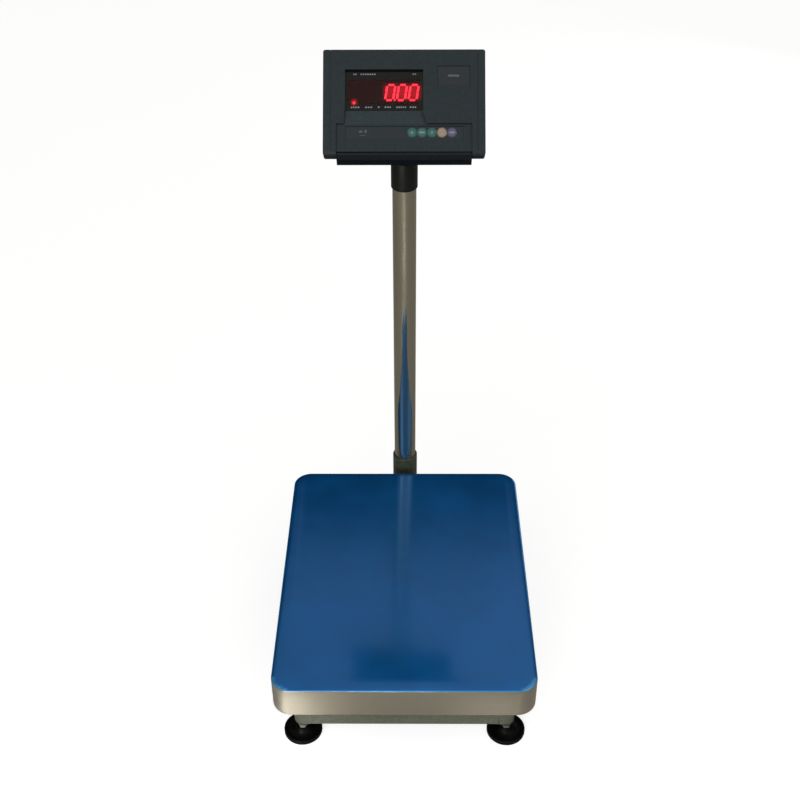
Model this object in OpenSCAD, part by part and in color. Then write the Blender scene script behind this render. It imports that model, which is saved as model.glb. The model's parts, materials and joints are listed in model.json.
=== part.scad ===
// Bench scale with a column-mounted indicator.
// Millimetres, +Z up, +X to the user's right, +Y away from the user.
// Origin: floor level, centre of the footprint box.

/* [Platform] */
// width of the weighing pan
pan_w = 400; // [300:10:500]
// depth of the weighing pan
pan_d = 500; // [400:10:600]
// height of the pan surface above the floor
pan_z = 150; // [148:1:180]
// height of the folded skirt
skirt_h = 55; // [40:1:60]
// plan radius of the pan corners
pan_corner_r = 30; // [10:1:40]
// outer radius of the fold along the pan edge
pan_fold_r = 3; // [2:0.5:6]
// sheet thickness of the pan
pan_t = 1.2; // [0.8:0.1:2]
// thickness of the protective film
film_t = 0.2; // [0.1:0.05:0.5]
// distance the film stops short of the pan edge
film_inset = 3; // [2:0.5:10]

/* [Lower frame] */
// plan radius of the frame's outer corners
corner_r = 12; // [4:1:16]
// outside width of the lower frame
frame_w = 344; // [280:2:380]
// outside depth of the lower frame
frame_d = 433; // [360:1:480]
// width of the frame tube
rail_w = 25; // [20:1:40]
// height of the frame tube
rail_h = 40; // [30:1:50]
// wall of the frame tube
rail_t = 2; // [1.5:0.5:4]
// clearance under the lower frame
frame_z = 30; // [26:1:40]
// width of the beam under the load cell
beam_w = 60; // [40:2:100]
// height of the beam under the load cell
beam_h = 30; // [20:1:40]

/* [Load cell and upper frame] */
// length of the load cell
cell_l = 150; // [130:1:200]
// width of the load cell
cell_w = 40; // [30:1:60]
// height of the load cell
cell_h = 38; // [30:1:40]
// thickness of the spacer plates
spacer_t = 6; // [3:1:10]
// radius of the flexure bores
flexure_r = 11; // [8:0.5:13]
// square size of the upper frame tube
upper_t = 25; // [20:1:30]
// width of the cross beam
cross_w = 60; // [40:2:100]
// distance from centre to an upper rail
upper_x = 150; // [120:1:170]
// length of the upper rails
upper_l = 440; // [360:5:460]
// distance from centre to a rubber buffer
buffer_y = 200; // [150:5:210]
// radius of a rubber buffer
buffer_r = 12; // [8:1:16]
// radius of the cell bolts
bolt_r = 4; // [3:0.5:5]
// radius of the overload stop screws
stop_r = 5; // [4:0.5:6]
// distance from centre to a stop screw
stop_y = 165; // [120:5:180]

/* [Feet] */
// radius of a foot
foot_r = 30; // [20:1:35]
// height of the foot rim
foot_rim_h = 8; // [5:0.5:12]
// sideways distance from centre to a foot
foot_x = 160; // [120:1:165]
// lengthways distance from centre to a foot
foot_y = 204; // [160:1:210]
// radius of the threaded stud
stud_r = 6; // [5:0.5:8]
// radial running clearance
run_c = 0.05; // [0.02:0.01:0.1]

/* [Column] */
// distance from the pan centre to the column axis
column_y = 288; // [285:1:320]
// outside radius of the column tube
tube_r = 19; // [16:0.5:25]
// wall of the column tube
tube_t = 1.5; // [1:0.5:3]
// height of the top of the column tube
tube_top_z = 730; // [500:5:900]
// outside radius of the column socket
socket_r = 22; // [20.5:0.5:28]
// height of the top of the column socket
socket_z = 166; // [140:1:200]
// outside radius of the column cap
cap_r = 21; // [20:0.5:26]
// length of cap below the tube end
cap_drop = 28; // [15:1:40]
// radius of the swivel spigot
spigot_r = 10; // [8:0.5:12]
// radius of the signal cable
cable_r = 3; // [2:0.5:3.5]

/* [Indicator] */
// width of the indicator case
head_w = 241; // [200:1:280]
// slope of the face from horizontal
face_tilt = 50; // [40:1:65]
// length of the face up its slope
face_l = 159; // [130:1:180]
// height up the slope where the face starts to round under
nose_s = 9.5; // [6:0.1:14]
// radius of the rounded nose under the face
nose_r = 12; // [8:0.5:13]
// height up the slope of the joint between the console and the chin
seam_s = 5.7; // [3:0.1:8]
// plan radius of the lower corners of the face
cheek_r = 6; // [2:0.5:10]
// half width of the console between the cheeks
console_x = 101; // [80:1:110]
// depth of the front case
front_d = 22; // [15:1:30]
// wall of the indicator case
case_t = 2.5; // [1.5:0.1:4]
// height of the chin
chin_h = 21; // [12:1:30]
// distance from the column axis forward to the lip
lip_y = 66.5; // [50:0.5:80]
// distance from the column axis back to the rear wall
rear_y = 68; // [55:1:80]
// distance trim stands off the rear wall
rear_trim = 2.5; // [2:0.1:4]
// height of the swivel flange
flange_h = 16.6; // [10:0.1:25]

/* [Display and keys] */
// left edge of the display window
window_x = -87.7; // [-95:0.1:-60]
// width of the display window
window_w = 116; // [80:1:130]
// lower edge of the display window up the slope
window_s = 67.5; // [60:0.5:80]
// height of the display window
window_h = 61.5; // [40:0.5:75]
// depth of the lens below the face
lens_d = 6; // [3:0.5:8]
// depth of the console below the face
console_d = 3; // [1:0.5:5]
// upper edge of the console up the slope
console_s = 47.5; // [40:0.5:55]
// position of the first key across the face
key_x = 11.8; // [0:0.1:30]
// spacing of the keys
key_pitch = 14.75; // [14:0.05:16]
// position of the keys up the slope
key_s = 34.7; // [30:0.1:38]
// radius of a key
key_r = 6.6; // [5:0.1:6.8]
// height of a lit digit
digit_h = 23; // [15:0.5:26]
// width of a lit digit
digit_w = 12; // [8:0.5:14]
// spacing of the digits
digit_pitch = 17.4; // [14:0.1:20]

/* [Hidden] */
$fn = 64;

// the footprint runs from the pan's front edge to the trim on the rear wall
y_shift = -(column_y + rear_y + rear_trim - pan_d / 2) / 2;
pan_y = y_shift;
col_y = y_shift + column_y;

rail_x = frame_w / 2 - rail_w / 2;
rail_y = frame_d / 2 - rail_w / 2;
frame_top = frame_z + rail_h;
inner_l = frame_d - 2 * rail_w;
beam_top = frame_z + beam_h;
cell_z = beam_top + spacer_t;
cell_top = cell_z + cell_h;
upper_z = cell_top + spacer_t;
upper_top = upper_z + upper_t;
pan_under = pan_z - pan_t;
end_y = cell_l / 2 - 18;
bolt_dx = 12;
bolt_dy = 9;
bolt_depth = cell_h / 2;
cross_y = -end_y;
boss_r = rail_w / 2 - rail_t - 1;
nut_h = 7;
stop_x = rail_x - 5;

bracket_z = frame_z + 4;
bracket_h = 32;
bracket_r = 40;
cable_z = bracket_z + bracket_h + 19;
cable_bend = 12;
cap_z = tube_top_z - cap_drop;
web_h = 18;
cap_top = tube_top_z + web_h;
flange_z = cap_top + 0.4;
head_z = flange_z + flange_h;

face_y0 = col_y - lip_y;
face_z0 = head_z + chin_h;
seam_w = 1.2;
band_s = 0.9;
window_cx = window_x + window_w / 2;
window_cs = window_s + window_h / 2;
digit_right = window_x + window_w - 5.5;
digit_s = window_s + 29.5;
badge_x0 = 49.3;
badge_x1 = 97.8;
badge_s0 = 103.8;
badge_s1 = 134.3;
badge_d = 1.9;
overlay_x0 = -86.5;
overlay_x1 = 88.2;
overlay_s0 = 24;
overlay_s1 = 43.8;
plate_d = console_d + 4;
overlay_d = console_d + 1.2;
pocket_d = console_d + 2;
key_travel = 0.5;
rear_top_z = face_z0 + face_l * sin(face_tilt) - 35;
switch_x = 40;
inlet_x = 78;
ports_z = head_z + 75;

function face_y(s, n) = face_y0 + s * cos(face_tilt) - n * sin(face_tilt);
function face_z(s, n) = face_z0 + s * sin(face_tilt) + n * cos(face_tilt);
function face_at(s, n) = [face_y(s, n), face_z(s, n)];

nose_y = face_y(nose_s, -nose_r);
nose_z = face_z(nose_s, -nose_r);
under_z = nose_z - nose_r;
foot_s = (under_z - face_z(0, -front_d)) / sin(face_tilt);
floor_s = foot_s + case_t / sin(face_tilt);

// ---------- shared shapes ----------

module round_rect(w, d, r) {
    union() {
        square([w - 2 * r, d], center = true);
        square([w, d - 2 * r], center = true);
        for (sx = [-1, 1], sy = [-1, 1])
            translate([sx * (w / 2 - r), sy * (d / 2 - r)]) circle(r);
    }
}

module box_between(a, b) {
    translate(a) cube(b - a);
}

// rectangular tube along Y, open at both ends
module tube_y(l, w, h, t) {
    difference() {
        translate([-w / 2, -l / 2, 0]) cube([w, l, h]);
        translate([-w / 2 + t, -l / 2 - 1, t]) cube([w - 2 * t, l + 2, h - 2 * t]);
    }
}

module tube_x(l, w, h, t) {
    rotate([0, 0, 90]) tube_y(l, w, h, t);
}

// profile in the Y-Z plane extruded along X, centred on X = 0
module across(w) {
    translate([-w / 2, 0, 0])
        rotate([90, 0, 90]) linear_extrude(w) children();
}

// X across, Y up the slope, Z out of the face
module on_face() {
    translate([0, face_y0, face_z0]) rotate([face_tilt, 0, 0]) children();
}

module on_face_box(x0, x1, s0, s1, n0, n1) {
    on_face() box_between([x0, s0, n0], [x1, s1, n1]);
}

module hex_prism(across_flats, h) {
    cylinder(r = across_flats / sqrt(3), h = h, $fn = 6);
}

module at_corners(x, y) {
    for (sx = [-1, 1], sy = [-1, 1])
        translate([sx * x, pan_y + sy * y, 0]) children();
}

// ---------- lower frame ----------

// plan of a side rail, its outer corners rounded
module rail_plan(side, inset) {
    w = rail_w / 2 - inset;
    d = frame_d / 2 - inset;
    r = corner_r - inset;
    union() {
        translate([-w, -d + r]) square([2 * w, 2 * (d - r)]);
        translate([(side > 0) ? -w : r - w, -d]) square([2 * w - r, 2 * d]);
        for (sy = [-1, 1])
            translate([side * (w - r), sy * (d - r)]) circle(r);
    }
}

module side_rail(side) {
    translate([side * rail_x, pan_y, 0]) difference() {
        translate([0, 0, frame_z]) linear_extrude(rail_h) rail_plan(side, 0);
        translate([0, 0, frame_z + rail_t]) linear_extrude(rail_h - 2 * rail_t) rail_plan(side, rail_t);
        for (sy = [-1, 1]) {
            translate([side * (foot_x - rail_x), sy * foot_y, frame_z - 1])
                cylinder(r = stud_r + 1, h = rail_t + 2);
            translate([side * (stop_x - rail_x), sy * stop_y, frame_top - rail_t - 1])
                cylinder(r = stop_r + 0.3, h = rail_t + 2);
        }
    }
}

module lower_rail_left() {
    color([0.33, 0.36, 0.3]) side_rail(-1);
}

module lower_rail_right() {
    color([0.33, 0.36, 0.3]) side_rail(1);
}

module lower_rail_front() {
    color([0.33, 0.36, 0.3])
        translate([0, pan_y - rail_y, frame_z])
            tube_x(frame_w - 2 * rail_w, rail_w, rail_h, rail_t);
}

module lower_rail_rear() {
    color([0.33, 0.36, 0.3])
        translate([0, pan_y + rail_y, frame_z])
            tube_x(frame_w - 2 * rail_w, rail_w, rail_h, rail_t);
}

module cell_bolt_holes(y, z0, z1) {
    for (sx = [-1, 1], sy = [-1, 1])
        translate([sx * bolt_dx, pan_y + y + sy * bolt_dy, z0])
            cylinder(r = bolt_r + run_c, h = z1 - z0);
}

module lower_cell_beam() {
    color([0.33, 0.36, 0.3]) difference() {
        translate([0, pan_y, frame_z]) tube_y(inner_l, beam_w, beam_h, 3);
        cell_bolt_holes(end_y, frame_z - 1, beam_top + 1);
    }
}

module foot_bosses() {
    color([0.55, 0.56, 0.56]) at_corners(foot_x, foot_y)
        translate([0, 0, frame_z + rail_t]) difference() {
            cylinder(r = boss_r, h = 24);
            translate([0, 0, -1]) cylinder(r = stud_r + run_c, h = 26);
        }
}

module foot_lock_nuts() {
    color([0.72, 0.7, 0.6]) at_corners(foot_x, foot_y)
        translate([0, 0, frame_z - nut_h]) difference() {
            hex_prism(19, nut_h);
            translate([0, 0, -1]) cylinder(r = stud_r + run_c, h = nut_h + 2);
        }
}

// ---------- column ----------

module bracket_outline(inset) {
    union() {
        translate([-bracket_r + inset, frame_d / 2])
            square([2 * (bracket_r - inset), column_y - frame_d / 2]);
        translate([0, column_y]) circle(bracket_r - inset);
    }
}

module gusset(x) {
    translate([x - 2, pan_y, 0]) rotate([90, 0, 90]) linear_extrude(4)
        polygon([
            [column_y - 48, bracket_z + bracket_h - 1],
            [column_y - 6, bracket_z + bracket_h - 1],
            [column_y - 6, bracket_z + bracket_h + 46],
            [column_y - 19, bracket_z + bracket_h + 46],
            [column_y - 48, bracket_z + bracket_h]
        ]);
}

module column_bracket() {
    color([0.33, 0.36, 0.3]) difference() {
        union() {
            translate([0, pan_y, bracket_z]) linear_extrude(bracket_h) bracket_outline(0);
            gusset(-14);
            gusset(14);
        }
        translate([0, pan_y, bracket_z + 3]) linear_extrude(bracket_h - 6)
            bracket_outline(3);
        translate([0, pan_y + frame_d / 2 - 1, bracket_z + 3])
            translate([-bracket_r + 3, 0, 0])
                cube([2 * bracket_r - 6, 4, bracket_h - 6]);
        translate([0, col_y, bracket_z - 1]) cylinder(r = socket_r, h = 100);
    }
}

module cable_hole() {
    translate([0, col_y, cable_z]) rotate([90, 0, 0]) cylinder(r = cable_r + 1, h = socket_r + 2);
}

module column_socket() {
    h = socket_z - bracket_z;
    color([0.27, 0.29, 0.26]) difference() {
        translate([0, col_y, bracket_z]) rotate_extrude()
            polygon([
                [tube_r + run_c, 0], [socket_r, 0], [socket_r, h - 1.5],
                [socket_r - 1.2, h], [tube_r + run_c, h]
            ]);
        cable_hole();
        for (dz = [26, 56])
            translate([0, col_y, socket_z - dz]) rotate([-90, 0, 0])
                cylinder(r = bolt_r + run_c, h = socket_r + 2);
    }
}

module socket_screws() {
    color([0.6, 0.6, 0.58]) for (dz = [26, 56])
        translate([0, col_y + tube_r + 2 * run_c, socket_z - dz]) rotate([-90, 0, 0]) union() {
            cylinder(r = bolt_r, h = 7);
            translate([0, 0, 7]) hex_prism(13, 5);
        }
}

module column_tube() {
    color([0.62, 0.6, 0.56]) difference() {
        translate([0, col_y, bracket_z]) cylinder(r = tube_r, h = tube_top_z - bracket_z);
        translate([0, col_y, bracket_z - 1])
            cylinder(r = tube_r - tube_t, h = tube_top_z - bracket_z + 2);
        cable_hole();
    }
}

module column_cap() {
    h = cap_top - cap_z;
    color([0.05, 0.05, 0.055]) translate([0, col_y, cap_z]) rotate_extrude()
        polygon([
            [tube_r + run_c, 0], [cap_r - 1.2, 0], [cap_r, 1.6], [cap_r, h - 1],
            [cap_r - 1, h], [spigot_r + run_c, h], [spigot_r + run_c, cap_drop],
            [tube_r + run_c, cap_drop]
        ]);
}

// ---------- load cell and upper frame ----------

module load_cell() {
    color([0.72, 0.73, 0.74]) difference() {
        translate([-cell_w / 2, pan_y - cell_l / 2, cell_z]) cube([cell_w, cell_l, cell_h]);
        for (sy = [-1, 1])
            translate([-cell_w, pan_y + sy * 16, cell_z + cell_h / 2]) rotate([0, 90, 0])
                cylinder(r = flexure_r, h = 2 * cell_w);
        translate([-cell_w, pan_y - 16, cell_z + cell_h / 2 - 3]) cube([2 * cell_w, 32, 6]);
        cell_bolt_holes(end_y, cell_z - 1, cell_z + bolt_depth);
        cell_bolt_holes(-end_y, cell_top - bolt_depth, cell_top + 1);
    }
}

module spacer_plate(y, z) {
    difference() {
        translate([-cell_w / 2, pan_y + y - 18, z]) cube([cell_w, 36, spacer_t]);
        cell_bolt_holes(y, z - 1, z + spacer_t + 1);
    }
}

module cell_spacers() {
    color([0.5, 0.5, 0.5]) union() {
        spacer_plate(end_y, beam_top);
        spacer_plate(-end_y, cell_top);
    }
}

module cell_bolts() {
    color([0.6, 0.6, 0.58]) for (sx = [-1, 1], sy = [-1, 1]) {
        translate([sx * bolt_dx, pan_y + end_y + sy * bolt_dy, frame_z - 6]) union() {
            hex_prism(13, 6);
            cylinder(r = bolt_r, h = cell_z + bolt_depth - 1 - frame_z + 6);
        }
        translate([sx * bolt_dx, pan_y - end_y + sy * bolt_dy, cell_top - bolt_depth + 1]) union() {
            cylinder(r = bolt_r, h = upper_top - cell_top + bolt_depth - 1);
            translate([0, 0, upper_top - cell_top + bolt_depth - 1]) hex_prism(13, 6);
        }
    }
}

module upper_cross_beam() {
    color([0.33, 0.36, 0.3]) difference() {
        translate([0, pan_y + cross_y, upper_z])
            tube_x(2 * upper_x - upper_t, cross_w, upper_t, 3);
        cell_bolt_holes(-end_y, upper_z - 1, upper_top + 1);
    }
}

module upper_rail_left() {
    color([0.33, 0.36, 0.3]) translate([-upper_x, pan_y, upper_z])
        tube_y(upper_l, upper_t, upper_t, rail_t);
}

module upper_rail_right() {
    color([0.33, 0.36, 0.3]) translate([upper_x, pan_y, upper_z])
        tube_y(upper_l, upper_t, upper_t, rail_t);
}

module pan_buffers() {
    color([0.07, 0.07, 0.07]) at_corners(upper_x, buffer_y)
        translate([0, 0, upper_top]) cylinder(r = buffer_r, h = pan_under - upper_top);
}

module stop_screws() {
    color([0.6, 0.6, 0.58]) at_corners(stop_x, stop_y)
        translate([0, 0, frame_top - 14]) cylinder(r = stop_r, h = upper_z - 1.5 - frame_top + 14);
}

module stop_nuts() {
    color([0.72, 0.7, 0.6]) at_corners(stop_x, stop_y) translate([0, 0, frame_top]) difference() {
        hex_prism(16, 8);
        translate([0, 0, -1]) cylinder(r = stop_r + run_c, h = 10);
    }
}

module at_level() {
    translate([28, col_y - 28, bracket_z + bracket_h]) children();
}

module level_body() {
    color([0.8, 0.8, 0.8]) at_level() difference() {
        cylinder(r = 9, h = 8);
        translate([0, 0, 2]) cylinder(r = 7.05, h = 8);
    }
}

module level_vial() {
    color([0.7, 0.85, 0.3]) at_level() translate([0, 0, 2]) cylinder(r = 7, h = 6.4);
}

module signal_cable() {
    y0 = pan_y + cell_l / 2 + 0.1;
    y1 = col_y - cable_bend;
    color([0.1, 0.1, 0.1]) union() {
        translate([0, y0, cable_z]) rotate([-90, 0, 0]) cylinder(r = cable_r, h = y1 - y0);
        translate([0, y1, cable_z + cable_bend]) rotate([0, -90, 0]) rotate([0, 0, 90])
            rotate_extrude(angle = 90) translate([cable_bend, 0]) circle(cable_r);
        translate([0, col_y, cable_z + cable_bend])
            cylinder(r = cable_r, h = head_z + 11 - cable_z - cable_bend);
    }
}

// ---------- pan ----------

module fold_outline(reach, drop, r) {
    union() {
        translate([-reach, -drop]) square([reach, drop - r]);
        translate([-reach, -r]) square([reach - r, r]);
        translate([-r, -r]) circle(r);
    }
}

module fold_profile() {
    difference() {
        fold_outline(pan_corner_r, skirt_h, pan_fold_r);
        translate([-pan_t, -pan_t]) fold_outline(pan_corner_r, skirt_h, pan_fold_r - pan_t);
    }
}

module pan_edge(turn, half_span, length) {
    rotate([0, 0, turn]) translate([half_span, length / 2, 0])
        rotate([90, 0, 0]) linear_extrude(length) fold_profile();
}

module pan() {
    flat_w = pan_w - 2 * pan_corner_r;
    flat_d = pan_d - 2 * pan_corner_r;
    color([0.62, 0.6, 0.55]) translate([0, pan_y, pan_z]) union() {
        translate([-flat_w / 2, -flat_d / 2, -pan_t]) cube([flat_w, flat_d, pan_t]);
        pan_edge(0, pan_w / 2, flat_d);
        pan_edge(180, pan_w / 2, flat_d);
        pan_edge(90, pan_d / 2, flat_w);
        pan_edge(270, pan_d / 2, flat_w);
        for (k = [0:3])
            translate([(k == 0 || k == 3 ? 1 : -1) * flat_w / 2, (k < 2 ? 1 : -1) * flat_d / 2, 0])
                rotate([0, 0, 90 * k]) rotate_extrude(angle = 90)
                    translate([pan_corner_r, 0]) fold_profile();
    }
}

module pan_film() {
    color([0.03, 0.17, 0.38]) translate([0, pan_y, pan_z]) linear_extrude(film_t)
        round_rect(pan_w - 2 * film_inset, pan_d - 2 * film_inset, pan_corner_r - film_inset);
}

// ---------- feet ----------

module foot_pad(sx, sy) {
    color([0.04, 0.04, 0.042]) translate([sx * foot_x, pan_y + sy * foot_y, 0]) rotate_extrude()
        polygon([
            [0, 0], [foot_r - 1, 0], [foot_r, 1], [foot_r, foot_rim_h - 1],
            [foot_r - 1, foot_rim_h], [foot_r - 4, foot_rim_h],
            [foot_r - 5, foot_rim_h - 2], [foot_r - 14, foot_rim_h - 1.5],
            [foot_r - 18.5, foot_rim_h + 2], [foot_r - 20, 14],
            [5 + run_c, 14], [5 + run_c, 6], [0, 6]
        ]);
}

module foot_pad_fl() {
    foot_pad(-1, -1);
}

module foot_pad_fr() {
    foot_pad(1, -1);
}

module foot_pad_rl() {
    foot_pad(-1, 1);
}

module foot_pad_rr() {
    foot_pad(1, 1);
}

module foot_stud(sx, sy) {
    color([0.72, 0.7, 0.6]) translate([sx * foot_x, pan_y + sy * foot_y, 0]) union() {
        translate([0, 0, 6.3]) cylinder(r = 5, h = 10);
        translate([0, 0, 14.3]) hex_prism(14, 5);
        translate([0, 0, 18]) cylinder(r = stud_r, h = 42);
    }
}

module foot_stud_fl() {
    foot_stud(-1, -1);
}

module foot_stud_fr() {
    foot_stud(1, -1);
}

module foot_stud_rl() {
    foot_stud(-1, 1);
}

module foot_stud_rr() {
    foot_stud(1, 1);
}

// ---------- indicator: swivel ----------

module swivel_spigot() {
    bore = cable_r + 2.5;
    low = flange_z - tube_top_z + 7;
    color([0.06, 0.06, 0.065]) translate([0, col_y, flange_z]) rotate_extrude()
        polygon([
            [bore, -low], [spigot_r, -low], [spigot_r + 3, -low + 2],
            [spigot_r + 3, -low + 6], [spigot_r, -low + 6], [spigot_r, 0],
            [cap_r - 1, 0], [cap_r, 1],
            [cap_r, flange_h], [spigot_r, flange_h], [spigot_r, flange_h + 11],
            [bore, flange_h + 11]
        ]);
}

module spigot_nut() {
    color([0.6, 0.6, 0.58]) translate([0, col_y, head_z + case_t]) difference() {
        hex_prism(30, 6);
        translate([0, 0, -1]) cylinder(r = spigot_r, h = 9);
    }
}

// the front rises to a band that carries on the slope of the console
module head_tray() {
    w = 2 * console_x - 0.6;
    back_y = col_y + 56;
    color([0.12, 0.13, 0.14]) difference() {
        across(w) polygon([
            [col_y - 57, head_z], [back_y, head_z], [back_y, under_z], [col_y - 49, under_z],
            face_at(seam_s - seam_w, -9), face_at(seam_s - seam_w, -console_d),
            face_at(band_s, -console_d), [col_y - 62.4, head_z + 11]
        ]);
        across(w - 2 * case_t) polygon([
            [col_y - 54.5, head_z + case_t], [back_y - case_t, head_z + case_t],
            [back_y - case_t, under_z + 1], [col_y - 45.5, under_z + 1],
            face_at(seam_s + 2, -9.5), face_at(seam_s + 2, -console_d - 3),
            face_at(band_s + 1.6, -console_d - 3), [col_y - 59.4, head_z + 11.5]
        ]);
        translate([0, col_y, head_z - 1]) cylinder(r = spigot_r + 0.05, h = case_t + 2);
    }
}

// ---------- indicator: case ----------

module face_outline() {
    s0 = nose_s - nose_r;
    h = face_l - s0;
    union() {
        translate([-head_w / 2 + cheek_r, s0]) square([head_w - 2 * cheek_r, 20]);
        translate([-head_w / 2, s0 + cheek_r]) square([head_w, h - cheek_r - 3.5]);
        translate([-head_w / 2 + 3.5, face_l - 10]) square([head_w - 7, 10]);
        for (sx = [-1, 1]) {
            translate([sx * (head_w / 2 - cheek_r), s0 + cheek_r]) circle(cheek_r);
            translate([sx * (head_w / 2 - 3.5), face_l - 3.5]) circle(3.5);
        }
    }
}

module front_profile() {
    union() {
        polygon([
            face_at(nose_s, 0), face_at(face_l, 0), face_at(face_l, -front_d),
            face_at(foot_s, -front_d), [nose_y, under_z], [nose_y, nose_z]
        ]);
        translate([nose_y, nose_z]) circle(nose_r);
    }
}

module front_hollow() {
    union() {
        polygon([
            face_at(nose_s, -case_t), face_at(face_l - case_t, -case_t),
            face_at(face_l - case_t, -front_d - 1), face_at(floor_s, -front_d - 1),
            face_at(floor_s, -front_d), [nose_y, under_z + case_t], [nose_y, nose_z]
        ]);
        translate([nose_y, nose_z]) circle(nose_r - case_t);
    }
}

// thicker wall behind the console, ending at the joint with the chin
module console_block() {
    across(2 * console_x + 4) polygon([
        face_at(seam_s - 1, -0.4), face_at(console_s + 2.5, -0.2),
        face_at(console_s + 2.5, -plate_d), face_at(seam_s - 1, -plate_d)
    ]);
}

module front_case() {
    wx0 = window_x;
    wx1 = window_x + window_w;
    ws0 = window_s;
    ws1 = window_s + window_h;
    color([0.2, 0.22, 0.235]) difference() {
        union() {
            intersection() {
                difference() {
                    across(head_w) front_profile();
                    across(head_w - 2 * case_t) front_hollow();
                }
                on_face() translate([0, 0, -front_d]) linear_extrude(front_d + 1) face_outline();
            }
            console_block();
            on_face_box(wx0 - 3, wx1 + 3, ws0 - 3, ws1 + 3, -lens_d, -0.1);
            on_face_box(wx0 - 5, wx1 + 8, console_s, ws0 - 3, -lens_d - 1.5, -0.1);
            on_face_box(badge_x0 - 2.5, badge_x1 + 2.5, badge_s0 - 2.5, badge_s1 + 2.5, -badge_d - 1.5, -0.1);
        }
        on_face() front_cuts(wx0, wx1, ws0, ws1);
        // room for the tray between the cheeks
        across(2 * console_x) polygon([
            face_at(seam_s, 2), face_at(seam_s, -plate_d - 3), [col_y - 44, under_z + 4],
            [col_y - 44, under_z - 4], [col_y - 80, under_z - 4]
        ]);
    }
}

module front_cuts(wx0, wx1, ws0, ws1) {
    union() {
        // display window
        box_between([wx0, ws0, -lens_d - 2], [wx1, ws1, 1]);
        // sloping sill from the window down to the console, wider at its foot
        intersection() {
            translate([wx0 - 6, 0, 0]) rotate([90, 0, 90]) linear_extrude(window_w + 16)
                polygon([
                    [console_s - 0.5, 1], [console_s - 0.5, -console_d],
                    [ws0 + 0.1, -lens_d + 1], [ws0 + 0.1, 1]
                ]);
            translate([0, 0, -20]) linear_extrude(30) polygon([
                [wx0 - 0.7, ws0 + 1], [wx0 - 1.7, console_s - 1],
                [wx1 + 5.5, console_s - 1], [wx1 - 1, ws0 - 3], [wx1 - 1.5, ws0 + 1]
            ]);
        }
        // console between the cheeks
        box_between([-console_x, -9, -console_d], [console_x, console_s, 1]);
        // pocket for the keypad overlay and holes for the keys
        box_between([overlay_x0 - 0.1, overlay_s0 - 0.1, -pocket_d],
            [overlay_x1 + 0.1, overlay_s1 + 0.1, 1]);
        for (k = [0:4])
            translate([key_x + k * key_pitch, key_s, -plate_d - 1]) cylinder(r = key_r + 0.4, h = 8);
        // recess for the badge
        box_between([badge_x0, badge_s0, -badge_d], [badge_x1, badge_s1, 1]);
        // grooves down the cheeks
        for (sx = [-1, 1])
            translate([sx * 109.3 - 0.8, -20, -0.7]) cube([1.6, 200, 2]);
    }
}

module rear_outline() {
    polygon([
        face_at(face_l, -front_d), [col_y + rear_y, rear_top_z],
        [col_y + rear_y, under_z + 5], [col_y + rear_y - 5, under_z], face_at(foot_s, -front_d)
    ]);
}

module rear_hollow() {
    polygon([
        face_at(face_l - case_t, -front_d + 5), face_at(face_l - case_t, -front_d),
        [col_y + rear_y - case_t, rear_top_z - 1], [col_y + rear_y - case_t, under_z + 6],
        [col_y + rear_y - 6, under_z + case_t],
        face_at(floor_s, -front_d), face_at(floor_s, -front_d + 5)
    ]);
}

module rear_case() {
    tray_x = console_x - case_t - 0.3;
    color([0.19, 0.21, 0.225]) difference() {
        across(head_w) rear_outline();
        across(head_w - 2 * case_t) rear_hollow();
        box_between([-tray_x, col_y - 80, head_z], [tray_x, col_y + 53, under_z + 4]);
        box_between([inlet_x - 12.1, col_y + 50, ports_z - 9.1],
            [inlet_x + 12.1, col_y + rear_y + 1, ports_z + 9.1]);
        box_between([switch_x - 9.1, col_y + 50, ports_z - 6.1],
            [switch_x + 9.1, col_y + rear_y + 1, ports_z + 6.1]);
        box_between([-8.6, col_y + 50, head_z + 25.4], [8.6, col_y + rear_y + 1, head_z + 34.6]);
        for (sx = [-1, 1], dz = [16, 96])
            translate([sx * 109, col_y + rear_y - 5, head_z + dz]) rotate([-90, 0, 0])
                cylinder(r = 1.6, h = 10);
    }
}

module case_screws() {
    color([0.35, 0.35, 0.36]) for (sx = [-1, 1], dz = [16, 96])
        translate([sx * 109, col_y + rear_y, head_z + dz]) rotate([-90, 0, 0]) union() {
            translate([0, 0, -10]) cylinder(r = 1.5, h = 11);
            cylinder(r = 3, h = 1.8);
        }
}

module battery_cover() {
    color([0.19, 0.21, 0.225])
        translate([-62, col_y + rear_y, head_z + 36]) rotate([-90, 0, 0]) difference() {
            linear_extrude(1.6) round_rect(68, 46, 3);
            for (k = [-2:2])
                translate([-20, k * 5 - 0.8, 0.8]) cube([40, 1.6, 2]);
        }
}

// ---------- indicator: display and keys ----------

module display_lens() {
    color([0.12, 0.02, 0.02, 0.6])
        on_face_box(window_x - 2.9, window_x + window_w + 2.9, window_s - 2.9,
            window_s + window_h + 2.9, -lens_d - 2, -lens_d);
}

module display_board() {
    color([0.05, 0.2, 0.1])
        on_face_box(window_x - 4, window_x + window_w + 4, window_s - 5,
            window_s + window_h + 4, -18.6, -17);
}

module display_modules() {
    w = 3 * digit_pitch - 0.4;
    color([0.1, 0.1, 0.1]) for (k = [0, 1])
        on_face_box(digit_right - w - k * (w + 0.4), digit_right - k * (w + 0.4),
            digit_s - 16, digit_s + 16, -17, -lens_d - 3.5);
}

// one straight segment, drawn leaning to match the digits
module segment(x0, y0, x1, y1, half) {
    lean = 0.15;
    dx = (x1 == x0) ? half : 0;
    dy = (x1 == x0) ? 0 : half;
    polygon([
        [x0 - dx + lean * (y0 - dy), y0 - dy], [x1 - dx + lean * (y1 - dy), y1 - dy],
        [x1 + dx + lean * (y1 + dy), y1 + dy], [x0 + dx + lean * (y0 + dy), y0 + dy]
    ]);
}

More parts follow.
